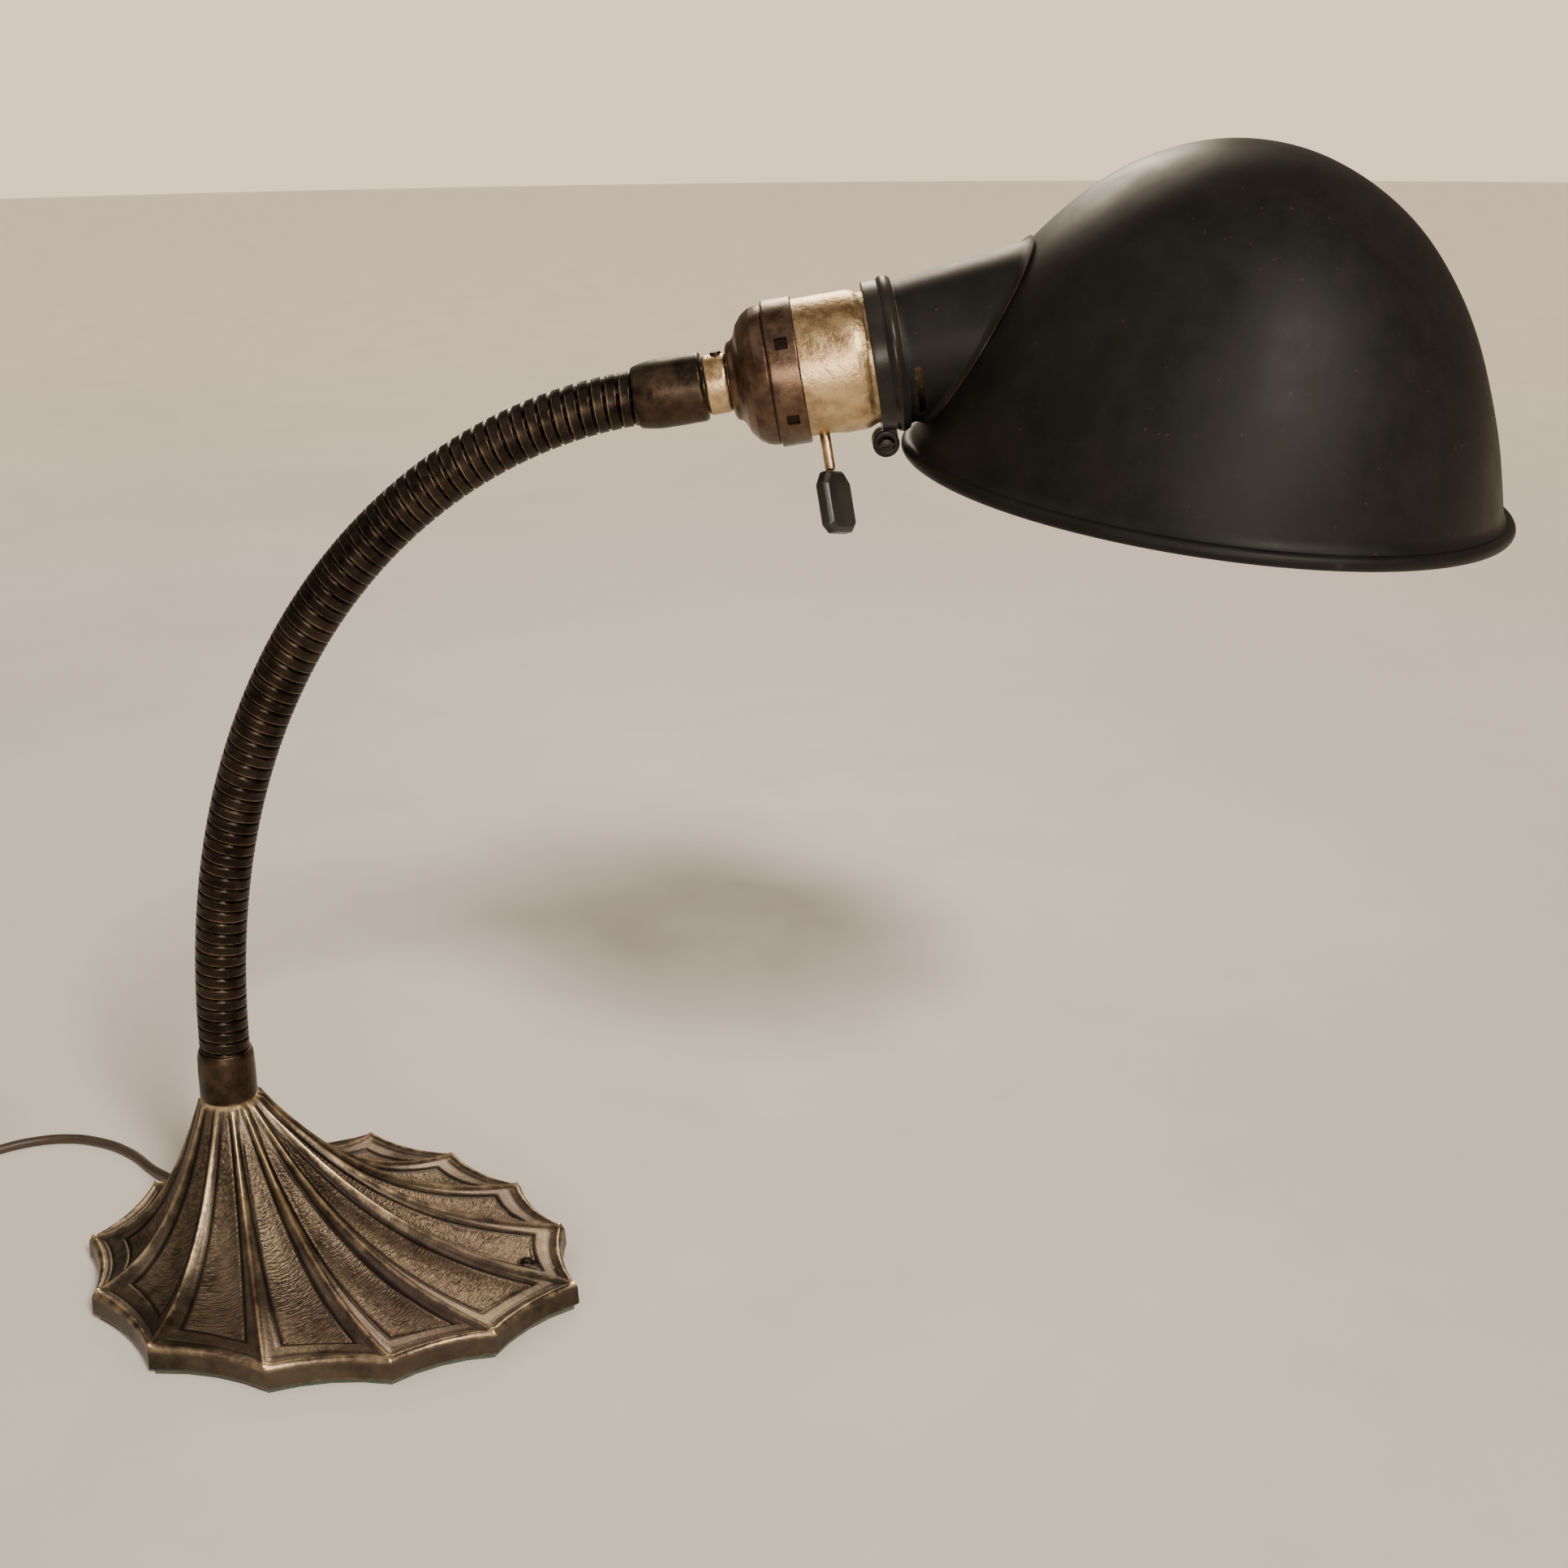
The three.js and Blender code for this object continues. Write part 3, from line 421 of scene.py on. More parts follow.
BLACK_STEEL = aged_metal("blackened_steel", rgb(0.012, 0.010, 0.009), rgb(0.035, 0.030, 0.026),
                         rgb(0.18, 0.15, 0.12), (0.3, 0.5))
STEEL = aged_metal("dull_steel", rgb(0.14, 0.13, 0.12), rgb(0.32, 0.30, 0.28),
                     rgb(0.5, 0.48, 0.45), (0.3, 0.55))
BULB_METAL = aged_metal("bulb_metal", rgb(0.42, 0.40, 0.37), rgb(0.62, 0.60, 0.56),
                          rgb(0.75, 0.73, 0.7), (0.22, 0.4))
CAST = cast_finish()
SHADE_BLACK = enamel_finish("shade_enamel", rgb(0.0045, 0.0042, 0.004), rgb(0.0085, 0.0078, 0.0072),
                            (0.42, 0.56), rgb(0.07, 0.055, 0.04))
SHADE_WHITE = enamel_finish("shade_lining", rgb(0.62, 0.59, 0.52), rgb(0.72, 0.69, 0.62), (0.3, 0.45),
                            rgb(0.3, 0.27, 0.22))
CLAMP_BLACK = enamel_finish("clamp_enamel", rgb(0.010, 0.0088, 0.0078), rgb(0.020, 0.017, 0.014),
                            (0.26, 0.4), rgb(0.13, 0.095, 0.06))
PHENOLIC = moulded_finish("phenolic", rgb(0.008, 0.0075, 0.007), rgb(0.02, 0.017, 0.015), (0.28, 0.42))
FIBRE = moulded_finish("fibre", rgb(0.33, 0.26, 0.16), rgb(0.45, 0.37, 0.24), (0.7, 0.9), 140, 0.05, 0.2)
RUBBER = moulded_finish("rubber", rgb(0.012, 0.010, 0.009), rgb(0.03, 0.026, 0.022), (0.5, 0.7),
                         90, 0.04, 0.3)
FELT = felt_finish()
CORD_BROWN = cord_finish()
GLASS = glass_finish()

cord.data.materials.append(CORD_BROWN)

# ---------------------------------------------------------------- mesh helpers


def piece(name, body, materials, replaced, points, faces, sharp=40, flags=None):
    """A mesh from points in millimetres, smooth but for edges sharper than the angle sharp."""
    mesh = bpy.data.meshes.new(name)
    mesh.from_pydata((np.asarray(points, float) * MM).tolist(), [], faces)
    work = bmesh.new()
    work.from_mesh(mesh)
    bmesh.ops.recalc_face_normals(work, faces=work.faces)
    work.to_mesh(mesh)
    work.free()
    mesh.shade_smooth()
    mesh.set_sharp_from_angle(angle=sharp * DEG)
    for material in materials if isinstance(materials, list) else [materials]:
        mesh.materials.append(material)
    for key, values in (flags or {}).items():
        layer = mesh.attributes.new(key, "FLOAT", "POINT")
        layer.data.foreach_set("value", np.asarray(values, np.float32).ravel())
    made = bpy.data.objects.new(name, mesh)
    bpy.context.scene.collection.objects.link(made)
    if replaced:
        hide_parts(*replaced)
    if body:
        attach(made, body)
    return made


def tool_piece(material, points, faces):
    """A shape to cut or join with; cut() takes it away again."""
    return piece("tool", None, material, None, points, faces)


def around(columns):
    """Angles that go once right round."""
    return np.arange(columns) * 2 * math.pi / columns


def grid_faces(rows, columns, close_rows=False):
    """Quads of a rows x columns grid whose columns run right round."""
    faces = []
    for i in range(rows if close_rows else rows - 1):
        a, b = i * columns, ((i + 1) % rows) * columns
        for j in range(columns):
            k = (j + 1) % columns
            faces.append((a + j, a + k, b + k, b + j))
    return faces


def prism_faces(count):
    """Faces of a prism whose points are one end's corners and then the other end's."""
    faces = [tuple(range(count)), tuple(range(count, 2 * count))]
    return faces + [(i, (i + 1) % count, count + (i + 1) % count, count + i) for i in range(count)]


def mark_wear(made, full=0.2):
    """Store on each vertex how far its edges stick out, which is where a hand rubs the finish."""
    mesh = made.data
    count = len(mesh.vertices)
    co = np.empty(count * 3)
    mesh.vertices.foreach_get("co", co)
    co = co.reshape(-1, 3)
    normal = np.empty(count * 3)
    mesh.vertices.foreach_get("normal", normal)
    normal = normal.reshape(-1, 3)
    edge = np.empty(len(mesh.edges) * 2, int)
    mesh.edges.foreach_get("vertices", edge)
    a, b = edge.reshape(-1, 2).T
    along = co[a] - co[b]
    along /= np.maximum(np.linalg.norm(along, axis=1, keepdims=True), 1e-9)
    total, number = np.zeros(count), np.zeros(count)
    np.add.at(total, a, (normal[a] * along).sum(1))
    np.add.at(total, b, -(normal[b] * along).sum(1))
    np.add.at(number, a, 1)
    np.add.at(number, b, 1)
    wear_and_highlight = np.clip(total / np.maximum(number, 1) / full, 0, 1)
    layer = mesh.attributes.get("wear_and_highlight") or mesh.attributes.new("wear_and_highlight", "FLOAT", "POINT")
    layer.data.foreach_set("value", wear_and_highlight.astype(np.float32))
    return made


def rounded(outline, radius, steps=4):
    """A closed outline with its corners rounded, but for those on the axis."""
    result = []
    for i, corner in enumerate(outline):
        here = Vector(corner)
        before = Vector(outline[i - 1]) - here
        after = Vector(outline[(i + 1) % len(outline)]) - here
        if corner[0] < 1e-6 or before.length < 1e-6 or after.length < 1e-6:
            result.append(tuple(here))
            continue
        start = here + before.normalized() * min(radius, 0.45 * before.length)
        end = here + after.normalized() * min(radius, 0.45 * after.length)
        for j in range(steps + 1):
            t = j / steps
            result.append(tuple(start * (1 - t) ** 2 + here * 2 * t * (1 - t) + end * t * t))
    return result


def dense(outline, longest):
    """The same closed outline with long sides divided."""
    result = []
    for i, point in enumerate(outline):
        following = outline[(i + 1) % len(outline)]
        count = max(1, math.ceil(math.dist(point, following) / longest))
        for j in range(count):
            result.append(tuple(a + (b - a) * (j / count) for a, b in zip(point, following)))
    return result


def revolve(outline, segments):
    """Points and faces of a closed [radius, height] outline turned about Z; radius 0 makes a pole."""
    angle = around(segments)
    points, rings = [], []
    for r, z in outline:
        if r < 1e-6:
            rings.append([len(points)] * segments)
            points.append((0, 0, z))
        else:
            rings.append(list(range(len(points), len(points) + segments)))
            points += [(r * math.cos(a), r * math.sin(a), z) for a in angle]
    faces = []
    for i, ring in enumerate(rings):
        following = rings[(i + 1) % len(rings)]
        if len(set(ring)) == 1 and len(set(following)) == 1:
            continue
        for j in range(segments):
            k = (j + 1) % segments
            face = [ring[j], ring[k], following[k], following[j]]
            faces.append(tuple(dict.fromkeys(face)))
    return np.array(points, float), faces


def cut(made, tool, kind="DIFFERENCE"):
    """Cut made by tool, or join the two, and leave out the tool."""
    modifier = made.modifiers.new("cut", "BOOLEAN")
    modifier.operation, modifier.object, modifier.solver = kind, tool, "EXACT"
    bpy.context.view_layer.update()
    shape = made.evaluated_get(bpy.context.evaluated_depsgraph_get())
    mesh = bpy.data.meshes.new_from_object(shape)
    made.modifiers.clear()
    made.data = mesh
    bpy.data.objects.remove(tool)
    mesh.set_sharp_from_angle(angle=40 * DEG)
    return made


# ---------------------------------------------------------------- frames of the neck, head and shade


def neck_line(s):
    """Centre line of the neck at the distances s: points (x, z) and headings."""
    s = np.atleast_1d(np.asarray(s, float))
    fine = np.linspace(0, NECK_LONG, 2001)
    t = fine / NECK_LONG
    heading = NECK_START - (NECK_START - NECK_END) * ((1 - NECK_TIGHTEN) * t + NECK_TIGHTEN * t * t)
    middle = (heading[1:] + heading[:-1]) / 2
    step = np.diff(fine)
    x = NECK_X + np.concatenate([[0], np.cumsum(np.cos(middle) * step)])
    z = NECK_Z + np.concatenate([[0], np.cumsum(np.sin(middle) * step)])
    inside = np.clip(s, 0, NECK_LONG)
    h = np.interp(inside, fine, heading)
    beyond = s - inside
    return np.interp(inside, fine, x) + np.cos(h) * beyond, np.interp(inside, fine, z) + np.sin(h) * beyond, h


def on_head(points, roll=0.0):
    """From head axes (+X up, +Y near side, +Z outward along the socket) to the row frame."""
    x, z, h = (value[0] for value in neck_line(NECK_LONG))
    up = np.array([-math.sin(h), 0, math.cos(h)])
    near = np.array([0, -1, 0])
    out = np.array([math.cos(h), 0, math.sin(h)])
    p = np.asarray(points, float)
    turned = np.stack([p[:, 0] * math.cos(roll) - p[:, 1] * math.sin(roll),
                       p[:, 0] * math.sin(roll) + p[:, 1] * math.cos(roll), p[:, 2]], 1)
    return np.array([x, 0, z]) + turned @ np.stack([up, near, out])


def on_shade(points):
    return on_head(points, SHADE_ROLL)


def on_key(points):
    """From key axes (+Z away from the socket) to the row frame."""
    p = np.asarray(points, float)
    away = np.stack([-p[:, 2], p[:, 1], p[:, 0]], 1)
    c, s = math.cos(-KEY_TILT), math.sin(-KEY_TILT)
    return on_head(np.stack([away[:, 0] * c - away[:, 1] * s, away[:, 0] * s + away[:, 1] * c,
                             away[:, 2] + KEY_AT], 1))


def lean_low(points):
    """The lower coupling leans with the foot of the neck."""
    p = np.asarray(points, float)
    x, z, h = (value[0] for value in neck_line(0))
    along, side = p[:, 2] - NECK_Z, p[:, 0]
    return np.stack([x + math.cos(h) * along + math.sin(h) * side, p[:, 1],
                     z + math.sin(h) * along - math.cos(h) * side], 1)


def box_tool(material, across, sideways, along):
    """A box in the shade's axes, to cut or join with."""
    corners = [(x, y, u) for x in across for y in sideways for u in along]
    faces = [(0, 1, 3, 2), (4, 6, 7, 5), (0, 4, 5, 1), (2, 3, 7, 6), (0, 2, 6, 4), (1, 5, 7, 3)]
    return tool_piece(material, on_shade(corners), faces)


def head_axis():
    x, z, h = (value[0] for value in neck_line(NECK_LONG))
    return Vector((x, 0, z)), Vector((math.cos(h), 0, math.sin(h)))


def on_dome(points):
    """From the dome's axes (+Z through its crown) to the row frame."""
    centre, axis = head_axis()
    turn = Matrix.Rotation(SHADE_ROLL, 3, axis) @ Matrix.Rotation(SHADE_PITCH, 3, "Y")
    shift = Matrix.Rotation(SHADE_ROLL, 3, axis) @ (Vector((SHADE_X, 0, SHADE_Z)) - centre) + centre
    return np.asarray(points, float) @ np.array(turn).T + np.array(shift)


def in_dome(points):
    """From the row frame to the dome's axes."""
    centre, axis = head_axis()
    turn = Matrix.Rotation(SHADE_ROLL, 3, axis) @ Matrix.Rotation(SHADE_PITCH, 3, "Y")
    shift = Matrix.Rotation(SHADE_ROLL, 3, axis) @ (Vector((SHADE_X, 0, SHADE_Z)) - centre) + centre
    return (np.asarray(points, float) - np.array(shift)) @ np.array(turn)


def turned(name, body, slot, material, replaced, outline, place, radius=0.4, segments=96,
           longest=2.5, full=0.2):
    """A lathe-turned piece with its edges broken."""
    points, faces = revolve(dense(rounded(outline, radius), longest), segments)
    return mark_wear(piece(name, body, material, replaced, place(points), faces), full)


def paint_shade(made, rule):
    """Paint shade on the vertices that rule picks from their radius and place along the socket axis."""
    centre, axis = (np.array(value) for value in head_axis())
    mesh = made.data
    place = np.array([vertex.co for vertex in mesh.vertices]) / MM - centre
    along = place @ axis
    off = np.linalg.norm(place - along[:, None] * axis, axis=1)
    dark, rubbed_and_lit = rule(off, along)
    mesh.attributes.new("painted_shade", "FLOAT", "POINT").data.foreach_set("value", dark.astype(np.float32))
    wear_and_highlight = np.empty(len(mesh.vertices), np.float32)
    mesh.attributes["wear_and_highlight"].data.foreach_get("value", wear_and_highlight)
    mesh.attributes["wear_and_highlight"].data.foreach_set("value", (wear_and_highlight * rubbed_and_lit).astype(np.float32))
    return made


# ---------------------------------------------------------------- base


def make_base():
    per_panel, top_rows = 48, 150
    columns = CORNERS * per_panel
    turn = np.arange(columns) / per_panel
    f = turn % 1
    edge = rim_points(turn)
    unit = edge / np.linalg.norm(edge, axis=1, keepdims=True)
    hub = unit * HUB_R
    long = np.linalg.norm(edge - hub, axis=1)
    k = np.floor(turn).astype(int)
    corner_a, corner_b = rim_points(k), rim_points(k + 1)
    hub_a = corner_a / np.linalg.norm(corner_a, axis=1, keepdims=True) * HUB_R
    hub_b = corner_b / np.linalg.norm(corner_b, axis=1, keepdims=True) * HUB_R

    rows, wear_and_highlight, shade_paint, panel, across = [], [], [], [], []

    def add(xy, z, worn_and_lit, painted_shade, hatch):
        height = np.broadcast_to(z, (columns,))
        rows.append(np.column_stack([xy, height]))
        for store, value in ((wear_and_highlight, worn_and_lit), (shade_paint, painted_shade), (panel, hatch)):
            store.append(np.broadcast_to(value, (columns,)))

    for r, z in ((BORE_R, HUB_TOP - 0.8), (BORE_R + 0.6, HUB_TOP - 0.1), (HUB_R - 1.4, HUB_TOP),
                 (HUB_R - 0.7, HUB_TOP - 0.15), (HUB_R - 0.2, HUB_TOP - 0.7)):
        add(unit * r, z, 0.75, 0.0, 0.0)
    for i in range(top_rows + 1):
        s = (i / top_rows) ** 1.05
        s = 0.015 + s * (1 - 0.015 - 1.1 / long)
        width = np.linalg.norm((corner_a - hub_a) * s[:, None] + hub_a
                               - (corner_b - hub_b) * s[:, None] - hub_b, axis=1)
        to_rib = np.minimum(f, 1 - f) * width
        to_rim = (1 - s) * long
        ends = np.sin(math.pi * np.clip(s, 0, 1))
        z = RIM_TOP + (HUB_TOP - RIM_TOP) * (1 - s) ** FLARE
        z = z + RIB * np.abs(np.cos(math.pi * f)) ** 3 * ends ** 0.7
        crest = bump_at(to_rib, 0.85)
        z = z + (0.35 + 0.45 * smooth(s / 0.15)) * crest * smooth(to_rim / 2)
        inside = np.minimum(to_rib - 0.16 * width - 0.35, to_rim - 9.0)
        frame_line = bump_at(inside, 0.55) * smooth((width - 3.5) / 3)
        z = z - 0.55 * frame_line - 0.3 * smooth(inside / 0.8)
        line = bump_at(to_rim - 4.2, 0.5) * smooth((to_rib - 1.4) / 1.2)
        z = z - 0.3 * line
        bead = bump_at(to_rim - 1.5, 0.9)
        z = z + 0.55 * bead
        pit = np.hypot(*((edge - hub) * s[:, None] + hub - (84.5, -20)).T)
        z = z - 1.1 * smooth((2.2 - pit) / 0.8)
        # Worn plating, with a painted highlight along the rib crests, the rim bead and the panels' frame
        # edge.
        worn_and_lit = np.clip(0.62 * crest + 0.5 * bead + 0.2 * bump_at(inside + 1.3, 0.8), 0, 1)
        # Painted shade in the frame grooves, along the line by the rim and in and around the pit.
        painted_shade = np.clip(frame_line + 0.7 * line + smooth((4.0 - pit) / 2.2), 0, 1)
        hatch = smooth(inside / 1.0) * smooth((width - 3) / 4)
        add(hub + (edge - hub) * s[:, None], z, worn_and_lit, painted_shade, hatch)
    outward = (edge - hub) / long[:, None]
    rim_wall = ((0.75, 8.25, 0.5), (0.42, 7.95, 0.55), (0.25, 7.5, 0.35), (0.18, 6.6, 0.05), (0.12, 5.4, 0),
                (0.06, 4.2, 0), (0.0, 3.0, 0.1), (0.0, 2.3, 0.35), (0.35, 1.9, 0.2), (1.0, 1.8, 0.0),
                (3.0, 1.8, 0.0))
    for inset, z, worn_and_lit in rim_wall:
        # The rim wall between 2 and 7 mm high gets painted shade.
        add(edge - outward * inset, z, worn_and_lit, 0.4 if 2 < z < 7 else 0.0, 0.0)
    # The underside and the bore inside the casting get painted shade.
    for i in range(9):
        s = HOLLOW * (1 - i / 9)
        under = RIM_TOP + (HUB_TOP - RIM_TOP) * (1 - s) ** FLARE - WALL
        z = FLOOR if i == 0 else min(under, CEILING)
        add(unit * (HUB_R - 1) + (edge - unit * (HUB_R - 1)) * s, z, 0.0, 0.6, 0.0)
    add(unit * (BORE_R + 0.5), CEILING, 0.0, 0.8, 0.0)
    add(unit * BORE_R, CEILING + 0.5, 0.0, 0.8, 0.0)

    points = np.concatenate(rows)
    faces = grid_faces(len(rows), columns, close_rows=True)
    flags = {"wear_and_highlight": np.concatenate(wear_and_highlight), "painted_shade": np.concatenate(shade_paint), "panel": np.concatenate(panel)}
    made = piece("base_shell", "base", CAST, ["base_casting"], points, faces, 50, flags)
    layer = made.data.uv_layers.new(name="UVMap")
    radial = np.linalg.norm(points[:, :2], axis=1)
    sideways = np.tile(20 * turn, len(rows))
    index = np.empty(len(made.data.loops), int)
    made.data.loops.foreach_get("vertex_index", index)
    layer.data.foreach_set("uv", np.column_stack([sideways, radial])[index].astype(np.float32).ravel())
    return made


def at_exit(points):
    """From the cord outlet's axes (+Z outward) to the row frame."""
    at, outward = exit_frame()
    p = np.asarray(points, float)
    side = np.array([-outward[1], outward[0], 0])
    out = np.array([*outward, 0])
    return np.array([*at, EXIT_Z]) + p[:, :1] * np.array([0, 0, -1.0]) + p[:, 1:2] * side + p[:, 2:3] * out


def make_outlet():
    outline = [(2.4, -5), (2.4, 0.1), (2.75, 0.2), (2.75, 1.3), (2.3, 2.0), (1.75, 2.1), (1.75, -5)]
    return turned("cord_grommet", "base", "rubber", RUBBER, ["cord_bushing"], outline, at_exit, 0.3, 48)


# ---------------------------------------------------------------- neck


def band_profile(phase):
    """Radius, painted highlight on the lips and painted shade in the groove over one wound band, phase 0 to 1
    from groove to groove.
    """
    gap_to = np.minimum(phase, 1 - phase) * PITCH
    groove = bump_at(gap_to, 0.27)
    lip = bump_at(phase * PITCH - 0.62, 0.24)
    far_lip = bump_at((1 - phase) * PITCH - 0.62, 0.24)
    r = NECK_R - 0.14 - 0.5 * groove + 0.12 * lip + 0.08 * far_lip + 0.05 * np.sin(math.pi * phase)
    # The lips' share is a painted highlight carried as wear; the groove's share is painted shade.
    return r, np.clip(0.95 * lip + 0.55 * far_lip, 0, 1), np.clip(groove * 1.1, 0, 1)


def neck_piece(index, start, end, tuck):
    """One link's bands. Past its end it tucks in under the next link, so that no gap opens as they bend."""
    columns = 80
    count = max(2, round((end - start) / 0.24)) + 1
    s = np.concatenate([np.linspace(start, end, count), np.linspace(end + 0.02, end + tuck, 7)])
    count = len(s)
    x, z, h = neck_line(s)
    angle = around(columns)
    phase = (s[:, None] / PITCH + angle[None, :] / (2 * math.pi)) % 1
    # dark is the painted shade in the grooves.
    r, worn_and_lit, dark = band_profile(phase)
    r = r - np.where(s > end, LINK_DROP, 0.0)[:, None]
    side = r * np.cos(angle)
    across = r * np.sin(angle)
    points = np.stack([x[:, None] + np.sin(h)[:, None] * side, across,
                       z[:, None] - np.cos(h)[:, None] * side], -1).reshape(-1, 3)
    faces = grid_faces(count, columns)
    made = piece(f"neck_band_{index:02d}", neck_body(index), NECK_BRONZE, [f"neck_seg_{index:02d}"],
                 points, faces, 60, {"wear_and_highlight": worn_and_lit, "painted_shade": dark})
    rest = made.data.attributes.new("rest", "FLOAT_VECTOR", "POINT")
    rest.data.foreach_set("vector", (points * MM).astype(np.float32).ravel())
    return made


def neck_body(index):
    if index == 1:
        return "base"
    return "head" if index == NECK_SEGMENTS else f"neck_{index:02d}"


def make_neck():
    long = NECK_LONG / NECK_SEGMENTS
    for k in range(1, NECK_SEGMENTS + 1):
        last = k == NECK_SEGMENTS
        start = -TUCK_LOW if k == 1 else long * (k - 1)
        neck_piece(k, start, NECK_LONG + TUCK_HIGH if last else long * k, 0.1 if last else LINK_TUCK)


# ---------------------------------------------------------------- couplings, socket and switch


def make_couplings():
    low = [(7.9, 52.3), (7.9, 60.2), (7.75, 64.6), (7.2, 66.4), (6.75, 66.5), (6.75, 57.3), (5.1, 57),
           (5.1, 52.3)]
    turned("neck_socket_low", "base", "bronze", BRONZE, ["lower_coupling"], low, lean_low, 0.35)
    high = [(7.3, 1), (7.7, 1.6), (8.15, 3.6), (8.5, 6), (8.6, 8), (8.6, 17.9), (8.1, 18.6), (4.75, 18.6),
            (4.75, 6.3), (6.75, 6), (6.75, 1)]
    turned("neck_socket_high", "head", "bronze", BRONZE, ["upper_coupling"], high, on_head, 0.3)


def make_bushing():
    outline = [(6.9, 18.9), (7.4, 19.5), (7.4, 23.9), (7.1, 24.7), (4.75, 24.7), (4.75, 18.9)]
    made = turned("socket_neck_ring", "head", "brass", BRASS, ["socket_bushing"], outline, on_head, 0.25, 96)
    points, faces = revolve([(0, 4), (1.7, 4), (1.7, 9), (0, 9)], 32)
    points = np.stack([points[:, 2], points[:, 1], -points[:, 0] + 22.6], 1)
    tool = tool_piece(BRASS, on_head(points), faces)
    mark_wear(cut(made, tool), 0.2)


def make_cap():
    outline = [(4.8, 25), (8.4, 25), (9.5, 25.6), (10.0, 26.8), (10.9, 27.5), (13.4, 28.5), (15.6, 30.3),
               (16.8, 32.2), (17.2, 33.8), (17.35, 34.8), (17.35, 35.05), (17.1, 35.2), (17.15, 35.4),
               (17.9, 35.5), (BAND_R, 35.8), (BAND_R, 42.7), (17.8, 43), (17.5, 43), (17.5, 38), (16.6, 36),
               (16.2, 33.4), (15, 31.2), (12.6, 29.1), (4.8, 26.9)]
    made = turned("socket_dome", "head", "brass", CAP_BRONZE, ["socket_cap"], outline, on_head, 0.3, 160, 1.0)
    stamp_squares(made)
    return made


def stamp_squares(made):
    """Two plain square dimples pressed in the band, 62 degrees apart on the near side."""
    half, middle, floor_r, mouth_r = 1.53, 39.3, 17.62, 18.6
    square = [(-1, -1), (1, -1), (1, 1), (-1, 1)]
    tools = []
    for angle in (60 * DEG, 122 * DEG):
        corners = []
        for radius, grow in ((floor_r, 0.9), (mouth_r, 1.1)):
            for along, sideways in square:
                turn = angle + sideways * grow * half / BAND_R
                place = middle + along * grow * half
                corners.append((radius * math.cos(turn), radius * math.sin(turn), place))
        tools.append(tool_piece(CAP_BRONZE, on_head(corners), prism_faces(4)))
    for tool in tools:
        cut(made, tool)
    mark_wear(made)

    # Painted shade on the dimples' floors; no wear anywhere in the band.
    def dimple_shade(off, along):
        band = (along > 36.4) & (along < 42.2)
        return np.where(band & (off > 17.52) & (off < 17.8), 1.0, 0.0), np.where(band, 0.0, 1.0)

    paint_shade(made, dimple_shade)


def make_shell():
    outline = [(16.6, 40), (17.2, 40), (17.2, 55.6), (17.1, 57), (16.8, 58.2), (16.45, 59), (16.2, 59.6),
               (16.1, 60.2), (16.1, 75), (15.5, 75), (15.5, 59.6), (16.6, 56.8)]
    made = turned("socket_body_shell", "head", "brass", BRASS, ["socket_shell"], outline, on_head,
                  0.25, 160, 1.2)
    a, b = SLOT_LONG / 2, SLOT_WIDE / 2
    outline = rounded([(a, b), (a, -b), (-a, -b), (-a, b)], 3.2, 8)
    lower = [(x, y + SLOT_SHIFT, 12.0) for x, y in outline]
    upper = [(x, y + SLOT_SHIFT, 21.0) for x, y in outline]
    tool = tool_piece(BRASS, on_key(lower + upper), prism_faces(len(outline)))
    mark_wear(cut(made, tool))
    # Painted shade on the shell past 61 mm, inside the clamp and the shade's neck.
    paint_shade(made, lambda off, along: (smooth((along - 61) / 1.5), np.ones(len(along))))


def make_insides():
    outline = [(0, 30.5), (10.5, 30.5), (14.4, 33.5), (15.6, 37), (15.6, 49.4), (15, 50), (0, 50)]
    body = turned("socket_core", "head", "phenolic", PHENOLIC, ["socket_body"], outline, on_head, 0.5, 96)
    points, faces = revolve([(0, 6), (1.6, 6), (1.6, 20), (0, 20)], 32)
    mark_wear(cut(body, tool_piece(PHENOLIC, on_key(points), faces)))


def threaded(name, material, replaced, r, depth, start, end, inside):
    """A rolled-thread sleeve about the socket axis, closed through the rings given in inside."""
    columns, step, pitch = 96, 0.25, 3.6
    count = round((end - start) / step) + 1
    rows = []
    angle = around(columns)
    for u in np.linspace(start, end, count):
        fade = float(smooth((u - start) / 1.5) * smooth((end - u) / 1.5))
        wave = 0.5 - 0.5 * np.cos(2 * math.pi * (u / pitch - angle / (2 * math.pi)))
        ring = r - depth * fade * (1 - wave)
        rows.append(np.column_stack([ring * np.cos(angle), ring * np.sin(angle), np.full(columns, u)]))
    for radius, u in inside:
        rows.append(np.column_stack([radius * np.cos(angle), radius * np.sin(angle), np.full(columns, u)]))
    faces = grid_faces(len(rows), columns, close_rows=True)
    made = piece(name, "head", material, replaced, on_head(np.concatenate(rows)), faces, 60)
    return mark_wear(made, 0.12)


def make_bulb():
    sleeve = [(13.45, 66.9), (13.45, 50.3)]
    threaded("bulb_screw_shell", BRASS, ["screw_shell"], 14.35, 0.45, 50.3, 66.9, sleeve)
    cap = [(12.6, 67.0), (0.3, 67.0), (0.3, 51.5), (2.6, 51.5), (3.4, 52.6), (8.5, 53.7), (12.2, 55.4)]
    threaded("bulb_cap", BULB_METAL, ["bulb_base"], 13.1, 0.7, 55.9, 66.8, cap)
    outline = [(0, 67.4), (11.6, 67.4), (12.2, 68.2), (12.7, 70.5), (13.7, 73), (14.6, 76), (15, 80),
               (15, 136)]
    outline += [(15 * math.cos(a * 7.5 * DEG), 136 + 14 * math.sin(a * 7.5 * DEG)) for a in range(1, 12)]
    outline.append((0, 150))
    turned("bulb_envelope", "head", "bulb_glass", GLASS, ["bulb_glass"], outline, on_head, 0.6, 96)


